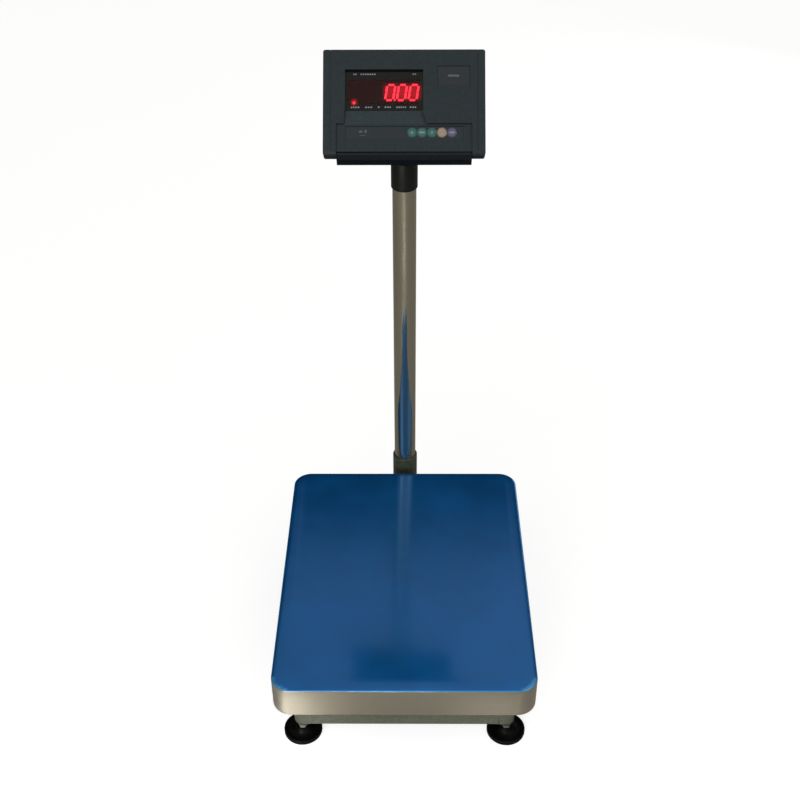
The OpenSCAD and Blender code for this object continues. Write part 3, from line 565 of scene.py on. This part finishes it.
def make_materials(scene):
    c = scene.bench_scale_colours
    build_groups()
    painted("frame_paint", tuple(c.frame_paint))
    painted("socket_paint", tuple(c.socket_paint), 0.4, 0.05)
    metal("zinc", tint(176, 172, 158), 0.25, 0.42, (300, 300, 300), 0.12)
    metal("column_steel", tuple(c.column_steel), 0.08, 0.13, (700, 700, 9), 0.04, 0.000004, 0.1)
    metal("pan_steel", tuple(c.pan_steel), 0.16, 0.26, (5, 5, 1200), 0.06, 0.0004, 0.4)
    metal("alloy", tint(196, 197, 198), 0.3, 0.45, (1200, 25, 1200), 0.06)
    metal("spacer_steel", tint(135, 135, 134), 0.35, 0.5, (600, 600, 600), 0.08)
    metal("level_metal", tint(205, 205, 205), 0.12, 0.2, (500, 500, 500), 0.04)
    stud = metal("stud_steel", tint(170, 166, 152), 0.3, 0.4, (300, 300, 300), 0.1)
    stud.bump(stud.group("thread", Pitch=0.0015).outputs["Height"], 0.9, 0.0009)
    moulded("black_plastic", tuple(c.black_plastic), 0.42, 2400.0, gloss=0.35)
    moulded("foot_plastic", tint(6, 6, 6), 0.42, 2000.0, dust=0.01, gloss=0.14)
    moulded("buffer_rubber", tint(26, 26, 26), 0.7, 900.0, 0.0001)
    moulded("cable_black", tint(22, 22, 23), 0.5, 1200.0)
    # the case's edges come out darker: painted shade on its rounded edges
    moulded("case_slate", tuple(c.case_slate), 0.46, 2600.0, wear_and_shade=0.5, under=0.12)
    # the chin is a darker copy of the case slate: painted shade where it turns down away from the light; its
    # darker edges are painted shade too
    moulded("chin_slate_shaded", tuple(value * 0.7 for value in c.case_slate), 0.5, 2600.0, wear_and_shade=0.6,
            under=0.1, gloss=0.2)
    moulded("overlay_slate", tint(50, 60, 66), 0.36, 3000.0, 0.00002)
    moulded("badge_slate", tint(50, 59, 64), 0.36, 3000.0, 0.00002)
    moulded("battery_case", tint(50, 50, 52), 0.4)
    moulded("transformer_core", tint(120, 104, 70), 0.5)
    moulded("circuit_board", tint(20, 84, 50), 0.35, 700.0)
    for name in ("key_green", "key_orange", "key_purple"):
        shade = tuple(getattr(c, name))
        moulded(name, shade, 0.38, 3000.0, 0.00002)
        moulded(name.replace("key", "ring"), tuple(value * 0.8 for value in shade), 0.38, 3000.0)
    moulded("rocker_red", tint(170, 20, 22), 0.25, 3000.0, 0.00002)
    moulded("mark_white", tuple(c.mark_white), 0.4, 3000.0, 0.00002)
    moulded("mark_grey", tuple(value * 0.4 for value in c.mark_white), 0.4, 3000.0, 0.00002)
    moulded("plate_silver", tint(168, 170, 170), 0.32, 1800.0, 0.00002)
    make_film(c)
    make_window()
    glass = Finish("level_glass", Roughness=0.02, IOR=1.45)
    glass.shader.inputs["Base Color"].default_value = (*tint(190, 225, 90), 1)
    glass.shader.inputs["Transmission Weight"].default_value = 0.8
    lit = Finish("lit_red", Roughness=0.3)
    lit.shader.inputs["Base Color"].default_value = (0.5, 0.01, 0.02, 1)
    lit.shader.inputs["Emission Color"].default_value = (*c.digit_red, 1)
    lit.shader.inputs["Emission Strength"].default_value = 11.0


# ---------------------------------------------------------------- making pieces

def deselect():
    if bpy.context.object and bpy.context.object.mode != "OBJECT":
        bpy.ops.object.mode_set(mode="OBJECT")
    bpy.ops.object.select_all(action="DESELECT")


def active():
    return bpy.context.view_layer.objects.active


def choose(*objects):
    deselect()
    for item in objects:
        item.select_set(True)
    bpy.context.view_layer.objects.active = objects[0]


def edit(obj):
    choose(obj)
    bpy.ops.object.mode_set(mode="EDIT")


def leave_edit():
    bpy.ops.object.mode_set(mode="OBJECT")


def pick_edges(obj, test):
    """Select the edges whose two ends pass the test."""
    mesh = bmesh.from_edit_mesh(obj.data)
    bpy.ops.mesh.select_mode(type="EDGE")
    for face in mesh.faces:
        face.select_set(False)
    for item in mesh.edges:
        item.select_set(bool(test(item.verts[0].co, item.verts[1].co)))
    bmesh.update_edit_mesh(obj.data)


def settle(obj, name, body, slot, stands_for=(), smooth=30):
    """Name a piece, put its place in its mesh, give it its finish and its body."""
    choose(obj)
    bpy.ops.object.transform_apply(location=True, rotation=True, scale=True)
    obj.name = name
    obj.data.name = name
    obj.data.materials.clear()
    obj.data.materials.append(MATERIALS[slot].material)
    bpy.ops.object.shade_smooth_by_angle(angle=math.radians(smooth))
    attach(obj, body)
    if stands_for:
        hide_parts(*stands_for)
    return obj


def modify(obj, kind, **values):
    choose(obj)
    modifier = obj.modifiers.new(kind.lower(), kind)
    for label, value in values.items():
        setattr(modifier, label, value)
    bpy.ops.object.modifier_apply(modifier=modifier.name)


def soften_node(name, width, segments=2):
    """Round a CAD node's edges with live modifiers, keep its flats flat and give it its finish."""
    obj = NODES[name]
    obj.data.materials.clear()
    obj.data.materials.append(MATERIALS[FINISH_OF.get(name, SLOT_OF[name])].material)
    weld = obj.modifiers.new("weld", "WELD")
    weld.merge_threshold = 0.00002
    if width:
        flat = obj.modifiers.new("flat", "DECIMATE")
        flat.decimate_type = "DISSOLVE"
        flat.angle_limit = math.radians(0.5)
        soft = obj.modifiers.new("soft", "BEVEL")
        soft.width = width
        soft.segments = segments
        soft.limit_method = "ANGLE"
        soft.angle_limit = math.radians(40)
        soft.use_clamp_overlap = True
    split = obj.modifiers.new("split", "EDGE_SPLIT")
    split.split_angle = math.radians(SPLIT_ANGLE.get(name, 35))


def bar_on_face(x, s, n, width, height, thick):
    """A rounded printed bar on the face, at its centre."""
    deselect()
    bpy.ops.mesh.primitive_cube_add(size=1, location=(0, 0, 0))
    obj = active()
    obj.scale = (width, height, thick)
    bpy.ops.object.transform_apply(location=False, rotation=False, scale=True)
    edit(obj)
    pick_edges(obj, lambda a, b: abs(a.z - b.z) > thick / 2)
    bpy.ops.mesh.bevel(offset=min(width, height) * 0.35, segments=3, affect="EDGES")
    leave_edit()
    obj.matrix_world = FACE @ Matrix.Translation((x, s, n + thick / 2))
    bpy.ops.object.transform_apply(location=True, rotation=True, scale=True)
    return obj


def joined(objects):
    choose(*objects)
    if len(objects) > 1:
        bpy.ops.object.join()
    return active()


# ---------------------------------------------------------------- pieces

def rounded_plate(width, depth, radius, z, steps=12):
    """A flat face with round corners, from a plane whose corner points are bevelled."""
    deselect()
    bpy.ops.mesh.primitive_plane_add(size=1, location=(PAN_CENTRE.x, PAN_CENTRE.y, z))
    obj = active()
    obj.scale = (width, depth, 1)
    bpy.ops.object.transform_apply(location=True, rotation=True, scale=True)
    edit(obj)
    bpy.ops.mesh.select_all(action="SELECT")
    bpy.ops.mesh.bevel(offset=radius, segments=steps, affect="VERTICES")
    return obj


def rim_fall(sizes, place):
    """How far the pan's top has dropped at a place, easing down across the rim."""
    inner = PAN_SIZE / 2 - Vector((sizes.corner_radius, sizes.corner_radius, 0))
    past = Vector((max(0, abs(place.x - PAN_CENTRE.x) - inner.x),
                   max(0, abs(place.y - PAN_CENTRE.y) - inner.y)))
    near = sizes.corner_radius - past.length
    if near > sizes.rim_width * 0.95:
        return near, 0
    return near, sizes.rim_drop * (1 - near / sizes.rim_width) ** 1.1


def make_pan_shell(sizes):
    obj = rounded_plate(PAN_SIZE.x, PAN_SIZE.y, sizes.corner_radius, PAN_TOP)
    drop = sizes.rim_drop
    bpy.ops.mesh.select_all(action="SELECT")
    bpy.ops.mesh.inset(thickness=sizes.rim_width * 0.45)
    bpy.ops.mesh.inset(thickness=sizes.rim_width * 0.55)
    mesh = bmesh.from_edit_mesh(obj.data)
    for vertex in mesh.verts:
        vertex.co.z -= rim_fall(sizes, vertex.co)[1]
    bmesh.update_edit_mesh(obj.data)
    # skirt: the outline goes straight down, then its top edge is folded round
    mesh = bmesh.from_edit_mesh(obj.data)
    bpy.ops.mesh.select_mode(type="EDGE")
    for item in mesh.edges:
        item.select_set(item.is_boundary)
    bmesh.update_edit_mesh(obj.data)
    bpy.ops.mesh.extrude_edges_move(TRANSFORM_OT_translate={"value": (0, 0, -PAN_SIZE.z + drop)})
    low = PAN_TOP - PAN_SIZE.z / 2
    mesh = bmesh.from_edit_mesh(obj.data)
    for item in mesh.edges:
        item.select_set(False)
    for item in mesh.edges:
        faces = item.link_faces
        folded = len(faces) == 2 and faces[0].normal.angle(faces[1].normal) > math.radians(60)
        item.select_set(folded and item.verts[0].co.z > low)
    bmesh.update_edit_mesh(obj.data)
    bpy.ops.mesh.bevel(offset=sizes.fold_radius, segments=5, affect="EDGES")
    bpy.ops.mesh.select_all(action="SELECT")
    bpy.ops.mesh.normals_make_consistent(inside=False)
    leave_edit()
    modify(obj, "SOLIDIFY", thickness=sizes.sheet, offset=-1, use_even_offset=True)
    settle(obj, "pan_shell", "pan", "pan_steel", ["pan"])


def make_film_sheet(sizes):
    reach = 0.0004
    obj = rounded_plate(PAN_SIZE.x - 2 * reach, PAN_SIZE.y - 2 * reach,
                        sizes.corner_radius - reach, PAN_TOP)
    bpy.ops.mesh.select_all(action="SELECT")
    for step in (0.0004, 0.0007, 0.0011, sizes.rim_width * 0.45 - 0.003, sizes.rim_width * 0.55):
        bpy.ops.mesh.inset(thickness=step)
    mesh = bmesh.from_edit_mesh(obj.data)
    fold = sizes.fold_radius
    lift = sizes.film * 0.6
    for vertex in mesh.verts:
        near, fall = rim_fall(sizes, vertex.co)
        if near < fold:
            fall += fold - math.sqrt(max(0, fold * fold - (fold - near) ** 2))
        vertex.co.z += lift - fall
    bmesh.update_edit_mesh(obj.data)
    leave_edit()
    modify(obj, "SOLIDIFY", thickness=sizes.film * 0.5, offset=1)
    settle(obj, "film_sheet", "pan", "film_blue", ["pan_film"])


def make_lens_marks(sizes):
    """Rows of plain dashes standing where words are printed on the window."""
    bars = []
    for s, words in (LOWER_ROW, UPPER_ROW):
        for x, width in words:
            count = max(1, round(width / 3.4))
            pitch = width / count
            for k in range(count):
                middle = x - width / 2 + (k + 0.5) * pitch
                bars.append(bar_on_face(middle * MM, s * MM, -LENS_DEPTH, pitch * 0.72 * MM, 2.2 * MM,
                                        sizes.mark))
    settle(joined(bars), "lens_marks", "head", "mark_white")


def ring_on_face(x, s, n, outer, inner, thick):
    """A flat ring on the face, from a filled circle inset and opened."""
    deselect()
    bpy.ops.mesh.primitive_circle_add(vertices=40, radius=outer, fill_type="NGON", location=(0, 0, 0))
    obj = active()
    edit(obj)
    bpy.ops.mesh.select_all(action="SELECT")
    bpy.ops.mesh.inset(thickness=outer - inner)
    bpy.ops.mesh.delete(type="FACE")
    leave_edit()
    modify(obj, "SOLIDIFY", thickness=thick, offset=1)
    obj.matrix_world = FACE @ Matrix.Translation((x, s, n))
    bpy.ops.object.transform_apply(location=True, rotation=True, scale=True)
    return obj


def make_key_marks(sizes):
    for k, (width, height, shade) in enumerate(KEY_PRINT):
        x = KEY_FIRST.x + k * KEY_PITCH
        s, n = KEY_FIRST.y, KEY_FIRST.z
        number = k + 1
        key = f"key_{number}"
        bar = bar_on_face(x, s, n, width * MM, height * MM, sizes.mark)
        settle(bar, f"key_mark_{number}", key, "mark_white")
        ring = ring_on_face(x, s, n, 6.45 * MM, 5.4 * MM, sizes.mark)
        settle(ring, f"key_ring_{number}", key, "ring_" + shade)
        outer = ring_on_face(x, s, OVERLAY_TOP, 7.36 * MM, 6.92 * MM, sizes.mark)
        settle(outer, f"key_surround_{number}", "head", "key_" + shade)


def make_panel_marks(sizes):
    """Plain printing on the overlay and the badge."""
    bars = [bar_on_face(x * MM, s * MM, OVERLAY_TOP + 0.05 * MM, w * MM, h * MM, sizes.mark)
            for x, s, w, h in ((-64.5, 36.2, 5.4, 3.4), (-57.2, 36.6, 3.2, 4.6), (-61.5, 30.6, 8.0, 0.8))]
    bars.append(bar_on_face(73.3 * MM, 119.6 * MM, BADGE_TOP, 17 * MM, 3.2 * MM, sizes.mark))
    settle(joined(bars), "panel_marks", "head", "mark_grey")


def weld_ball(place, radius, swell=1.0, squash=1.0):
    deselect()
    bpy.ops.mesh.primitive_uv_sphere_add(segments=12, ring_count=8, radius=radius, location=place)
    ball = active()
    ball.scale = (swell, swell, swell * squash)
    bpy.ops.object.transform_apply(location=True, rotation=False, scale=True)
    return ball


def bead_run(first, last, count):
    """A run of weld: squashed balls overlapping like ripples."""
    first, last = Vector(first), Vector(last)
    return joined([weld_ball(first.lerp(last, (k + 0.5) / count), 1.6 * MM, 1 + 0.12 * math.sin(k * 2.1), 0.8)
                   for k in range(count)])


def bead_ring(reach, z, count):
    """A ring of weld round the foot of the column."""
    turns = [math.tau * k / count for k in range(count)]
    return joined([weld_ball((reach * math.cos(turn), COLUMN_Y + reach * math.sin(turn), z), 1.7 * MM)
                   for turn in turns])


def make_weld_beads():
    """Beads where the cross rails and the column bracket meet the side rails."""
    runs = []
    for x in (highest("lower_rail_left").x, lowest("lower_rail_right").x):
        for y, end in ((highest("lower_rail_front").y, "lower_rail_front"),
                       (lowest("lower_rail_rear").y, "lower_rail_rear")):
            low, high = lowest(end).z + 2 * MM, highest(end).z - 2 * MM
            runs.append(bead_run((x, y, low), (x, y, high), 16))
    low, high = lowest("column_bracket"), highest("column_bracket")
    plate_y = highest("lower_rail_rear").y
    for z in (low.z, low.z + 32 * MM):
        runs.append(bead_run((low.x + 12 * MM, plate_y, z), (high.x - 12 * MM, plate_y, z), 24))
    reach = (highest("column_socket").x - lowest("column_socket").x) / 2
    runs.append(bead_ring(reach, low.z + 32.5 * MM, 44))
    settle(joined(runs), "weld_beads", "base", "frame_paint", smooth=60)


def rear_plate(x, z, width, height, thick, corner, lift=0.0):
    """A thin plate with rounded corners and a raised rim on the back of the case."""
    deselect()
    bpy.ops.mesh.primitive_plane_add(size=1, location=(0, 0, 0))
    obj = active()
    obj.scale = (width, height, 1)
    bpy.ops.object.transform_apply(location=False, rotation=False, scale=True)
    edit(obj)
    bpy.ops.mesh.select_all(action="SELECT")
    bpy.ops.mesh.bevel(offset=corner, segments=5, affect="VERTICES")
    bpy.ops.mesh.select_all(action="SELECT")
    bpy.ops.mesh.inset(thickness=min(width, height) * 0.04)
    bpy.ops.mesh.inset(thickness=min(width, height) * 0.012, depth=-thick * 0.3)
    leave_edit()
    modify(obj, "SOLIDIFY", thickness=thick, offset=-1)
    obj.matrix_world = (Matrix.Translation((x, highest("rear_case").y + thick + lift, z))
                        @ Matrix.Rotation(math.radians(180), 4, "Z")
                        @ Matrix.Rotation(math.radians(90), 4, "X"))
    bpy.ops.object.transform_apply(location=True, rotation=True, scale=True)
    return obj


def make_rear_plates():
    """A blank rating plate and a plain strip of rows beside the sockets."""
    head = lowest("rear_case").z
    plate = rear_plate(-0.062, head + 0.083, 0.058, 0.03, 0.0005, 0.0015)
    settle(plate, "rating_plate", "head", "plate_silver")
    rows = []
    for row in range(4):
        z = head + 0.0905 - 0.0052 * row
        for part in range(3):
            width = 0.013 - 0.002 * ((row + part) % 3)
            rows.append(rear_plate(-0.044 - 0.0165 * part, z, width, 0.0014, 0.0001, 0.0003, 0.0004))
    settle(joined(rows), "rating_rows", "head", "mark_grey")


def make_screw_crosses():
    """Cross recesses in the heads of the case screws."""
    low, high = lowest("case_screws"), highest("case_screws")
    bars = []
    for x in (low.x + 0.003, high.x - 0.003):
        for z in (low.z + 0.003, high.z - 0.003):
            for turn in (0, 90):
                deselect()
                bpy.ops.mesh.primitive_cube_add(size=1, location=(0, 0, 0))
                bar = active()
                bar.scale = (0.0034, 0.0003, 0.0008)
                bpy.ops.object.transform_apply(location=False, rotation=False, scale=True)
                edit(bar)
                bpy.ops.mesh.select_all(action="SELECT")
                bpy.ops.mesh.bevel(offset=0.0001, segments=2, affect="EDGES")
                leave_edit()
                bar.matrix_world = (Matrix.Translation((x, high.y, z))
                                    @ Matrix.Rotation(math.radians(turn), 4, "Y"))
                bpy.ops.object.transform_apply(location=True, rotation=True, scale=True)
                bars.append(bar)
    settle(joined(bars), "screw_crosses", "head", "black_plastic")


# ---------------------------------------------------------------- stage

def make_floor(colours):
    """A plain pale floor, lit a little to the camera so its shadows stay soft."""
    deselect()
    bpy.ops.mesh.primitive_plane_add(size=1, location=(0, 0, 0))
    floor = active()
    floor.scale = (30, 30, 1)
    bpy.ops.object.transform_apply(location=False, rotation=False, scale=True)
    floor.name = "floor"
    cover = Finish("floor_cover", Roughness=0.8)
    nodes, link = cover.nodes, cover.link
    faint = noise_at(nodes, link, object_place(nodes), 3.0, 3.0)
    cover.feed(mixed(nodes, link, span(nodes, link, faint, 0.3, 0.7),
                     tuple(value * 0.985 for value in colours.floor_pale), tuple(colours.floor_pale)),
               "Base Color")
    seen = nodes.new("ShaderNodeLightPath").outputs["Is Camera Ray"]
    cover.feed(mixed(nodes, link, seen, (0.0, 0.0, 0.0), (0.79, 0.795, 0.81)), "Emission Color")
    cover.shader.inputs["Emission Strength"].default_value = 1.0
    cover.shader.inputs["Specular IOR Level"].default_value = 0.0
    floor.data.materials.append(cover.material)


def make_world(scene):
    """White to the camera; round the object a dim room, darkest behind and low down."""
    world = scene.world or bpy.data.worlds.new("studio")
    scene.world = world
    world.use_nodes = True
    tree = world.node_tree
    nodes, link = tree.nodes, tree.links.new
    way = nodes.new("ShaderNodeSeparateXYZ")
    link(nodes.new("ShaderNodeTexCoord").outputs["Generated"], way.inputs[0])
    rear = span(nodes, link, way.outputs["Z"], 0.635, 0.7, ROOM_REAR_LOW, ROOM_REAR_HIGH)
    rear = math_node(nodes, link, "MULTIPLY", rear, span(nodes, link, way.outputs["X"], -0.2, 0.15, 0.8, 1.1))
    front = span(nodes, link, way.outputs["Z"], 0.0, 0.9, ROOM_FRONT_LOW, ROOM_FRONT_HIGH)
    ahead = span(nodes, link, way.outputs["Y"], -0.15, 0.25)
    level = span(nodes, link, ahead, 0.0, 1.0, front, rear)
    side = span(nodes, link, way.outputs["X"], -0.75, -0.3, 0.35, 1.0)
    level = math_node(nodes, link, "MULTIPLY", level, side)
    grey = nodes.new("ShaderNodeCombineColor")
    for channel, warm in (("Red", 1.02), ("Green", 1.0), ("Blue", 0.95)):
        link(math_node(nodes, link, "MULTIPLY", level, warm), grey.inputs[channel])
    seen = nodes.new("ShaderNodeLightPath").outputs["Is Camera Ray"]
    shown = mixed(nodes, link, seen, grey.outputs[0], (1.0, 1.0, 1.0))
    link(shown, nodes["Background"].inputs["Color"])
    nodes["Background"].inputs["Strength"].default_value = 1.0


def make_lights():
    for name, place, target, size, power in LIGHTS:
        deselect()
        bpy.ops.object.light_add(type="AREA", location=place)
        lamp = active()
        lamp.name = name
        lamp.data.shape = "RECTANGLE"
        lamp.data.size, lamp.data.size_y = size
        lamp.data.energy = power
        aim = (Vector(target) - Vector(place)).normalized()
        lamp.rotation_euler = aim.to_track_quat("-Z", "Y").to_euler()


def make_camera(scene):
    """A camera above and in front, looking down at the pan."""
    yaw, pitch, roll = (math.radians(angle) for angle in CAMERA_TURN)
    ahead = Vector((math.sin(yaw) * math.cos(pitch), math.cos(yaw) * math.cos(pitch), -math.sin(pitch)))
    right = Vector((math.cos(yaw), -math.sin(yaw), 0))
    above = right.cross(ahead)
    level_right = right * math.cos(roll) + above * math.sin(roll)
    level_up = -right * math.sin(roll) + above * math.cos(roll)
    deselect()
    bpy.ops.object.camera_add()
    camera = active()
    camera.name = "camera"
    camera.data.sensor_width = 36
    camera.data.lens = CAMERA_LENS
    camera.data.clip_end = 100
    turn = Matrix((level_right, level_up, -ahead)).transposed().to_4x4()
    camera.matrix_world = Matrix.Translation(CAMERA_PLACE) @ turn
    scene.camera = camera


def make_stage(scene):
    make_floor(scene.bench_scale_colours)
    make_world(scene)
    make_lights()
    make_camera(scene)
    scene.view_settings.view_transform = "Standard"


# the sill of the front case lies only a few degrees off the face
SPLIT_ANGLE = {"front_case": 9}
FINISH_OF = {
    "foot_stud_fl": "stud_steel", "foot_stud_fr": "stud_steel", "foot_stud_rl": "stud_steel",
    "foot_stud_rr": "stud_steel", "head_tray": "chin_slate_shaded",
}
SOFT_EDGES = {
    "front_case": 0.0007, "rear_case": 0.0009, "head_tray": 0.0006, "battery_cover": 0.0005,
    "lower_rail_left": 0.0025, "lower_rail_right": 0.0025, "lower_rail_front": 0.0015,
    "lower_rail_rear": 0.0015, "lower_cell_beam": 0.002, "column_bracket": 0.0012,
    "column_socket": 0.0004, "column_cap": 0.0005, "upper_rail_left": 0.002,
    "upper_rail_right": 0.002, "upper_cross_beam": 0.002, "foot_pad_fl": 0.0006,
    "foot_pad_fr": 0.0006, "foot_pad_rl": 0.0006, "foot_pad_rr": 0.0006,
    "name_badge": 0.0002, "keypad_overlay": 0.0002, "load_cell": 0.0006,
    "power_inlet": 0.0005, "switch_frame": 0.0004, "signal_socket": 0.0003,
    "swivel_spigot": 0.0004, "battery": 0.001, "transformer": 0.0006,
    "key_1": 0.0004, "key_2": 0.0004, "key_3": 0.0004, "key_4": 0.0004, "key_5": 0.0004,
    "switch_rocker": 0.0004, "foot_lock_nuts": 0.0004, "stop_nuts": 0.0004,
}


def finish_frame():
    for name in NODES:
        soften_node(name, SOFT_EDGES.get(name, 0))


# ---------------------------------------------------------------- operators

class BENCHSCALE_OT_materials(bpy.types.Operator):
    """Make the finishes"""
    bl_idname = "benchscale.materials"
    bl_label = "Finishes"

    def execute(self, context):
        make_materials(context.scene)
        return {"FINISHED"}


class BENCHSCALE_OT_frame(bpy.types.Operator):
    """Round the edges of the fixed frame's nodes and give them their finishes"""
    bl_idname = "benchscale.frame"
    bl_label = "Frame"

    def execute(self, context):
        finish_frame()
        return {"FINISHED"}


class BENCHSCALE_OT_pan(bpy.types.Operator):
    """Fold the steel pan"""
    bl_idname = "benchscale.pan"
    bl_label = "Pan"

    def execute(self, context):
        make_pan_shell(context.scene.bench_scale_sizes)
        return {"FINISHED"}


class BENCHSCALE_OT_film(bpy.types.Operator):
    """Lay the protective film on the pan"""
    bl_idname = "benchscale.film"
    bl_label = "Film"

    def execute(self, context):
        make_film_sheet(context.scene.bench_scale_sizes)
        return {"FINISHED"}


class BENCHSCALE_OT_lens_marks(bpy.types.Operator):
    """Print the plain marks on the display window"""
    bl_idname = "benchscale.lens_marks"
    bl_label = "Window marks"

    def execute(self, context):
        make_lens_marks(context.scene.bench_scale_sizes)
        return {"FINISHED"}


class BENCHSCALE_OT_key_marks(bpy.types.Operator):
    """Print the plain marks on the keys"""
    bl_idname = "benchscale.key_marks"
    bl_label = "Key marks"

    def execute(self, context):
        make_key_marks(context.scene.bench_scale_sizes)
        return {"FINISHED"}


class BENCHSCALE_OT_panel_marks(bpy.types.Operator):
    """Print the plain marks on the overlay and the badge"""
    bl_idname = "benchscale.panel_marks"
    bl_label = "Panel marks"

    def execute(self, context):
        make_panel_marks(context.scene.bench_scale_sizes)
        return {"FINISHED"}


class BENCHSCALE_OT_welds(bpy.types.Operator):
    """Lay the weld beads on the lower frame"""
    bl_idname = "benchscale.welds"
    bl_label = "Weld beads"

    def execute(self, context):
        make_weld_beads()
        return {"FINISHED"}


class BENCHSCALE_OT_rear(bpy.types.Operator):
    """Fit the blank rating plate and the screw recesses on the back of the case"""
    bl_idname = "benchscale.rear"
    bl_label = "Rear details"

    def execute(self, context):
        make_rear_plates()
        make_screw_crosses()
        return {"FINISHED"}


class BENCHSCALE_OT_stage(bpy.types.Operator):
    """Set the floor, the light and the camera"""
    bl_idname = "benchscale.stage"
    bl_label = "Stage"

    def execute(self, context):
        make_stage(context.scene)
        return {"FINISHED"}


STEPS = (
    BENCHSCALE_OT_materials, BENCHSCALE_OT_frame, BENCHSCALE_OT_pan, BENCHSCALE_OT_film,
    BENCHSCALE_OT_lens_marks, BENCHSCALE_OT_key_marks, BENCHSCALE_OT_panel_marks,
    BENCHSCALE_OT_welds, BENCHSCALE_OT_rear, BENCHSCALE_OT_stage,
)


class BENCHSCALE_PT_panel(bpy.types.Panel):
    """Steps and settings of the bench scale"""
    bl_idname = "BENCHSCALE_PT_panel"
    bl_label = "Bench scale"
    bl_space_type = "VIEW_3D"
    bl_region_type = "UI"
    bl_category = "Bench scale"

    def draw(self, context):
        for step in STEPS:
            self.layout.operator(step.bl_idname)
        for group in (context.scene.bench_scale_sizes, context.scene.bench_scale_colours):
            for label in group.__annotations__:
                self.layout.prop(group, label)


CLASSES = (BenchScaleSizes, BenchScaleColours, *STEPS, BENCHSCALE_PT_panel)


def register():
    for item in CLASSES:
        bpy.utils.register_class(item)
    bpy.types.Scene.bench_scale_sizes = bpy.props.PointerProperty(type=BenchScaleSizes)
    bpy.types.Scene.bench_scale_colours = bpy.props.PointerProperty(type=BenchScaleColours)


def unregister():
    del bpy.types.Scene.bench_scale_colours
    del bpy.types.Scene.bench_scale_sizes
    for item in reversed(CLASSES):
        bpy.utils.unregister_class(item)


def main():
    register()
    for step in STEPS:
        group, name = step.bl_idname.split(".")
        getattr(getattr(bpy.ops, group), name)()
    deselect()


if __name__ == "__main__":
    main()
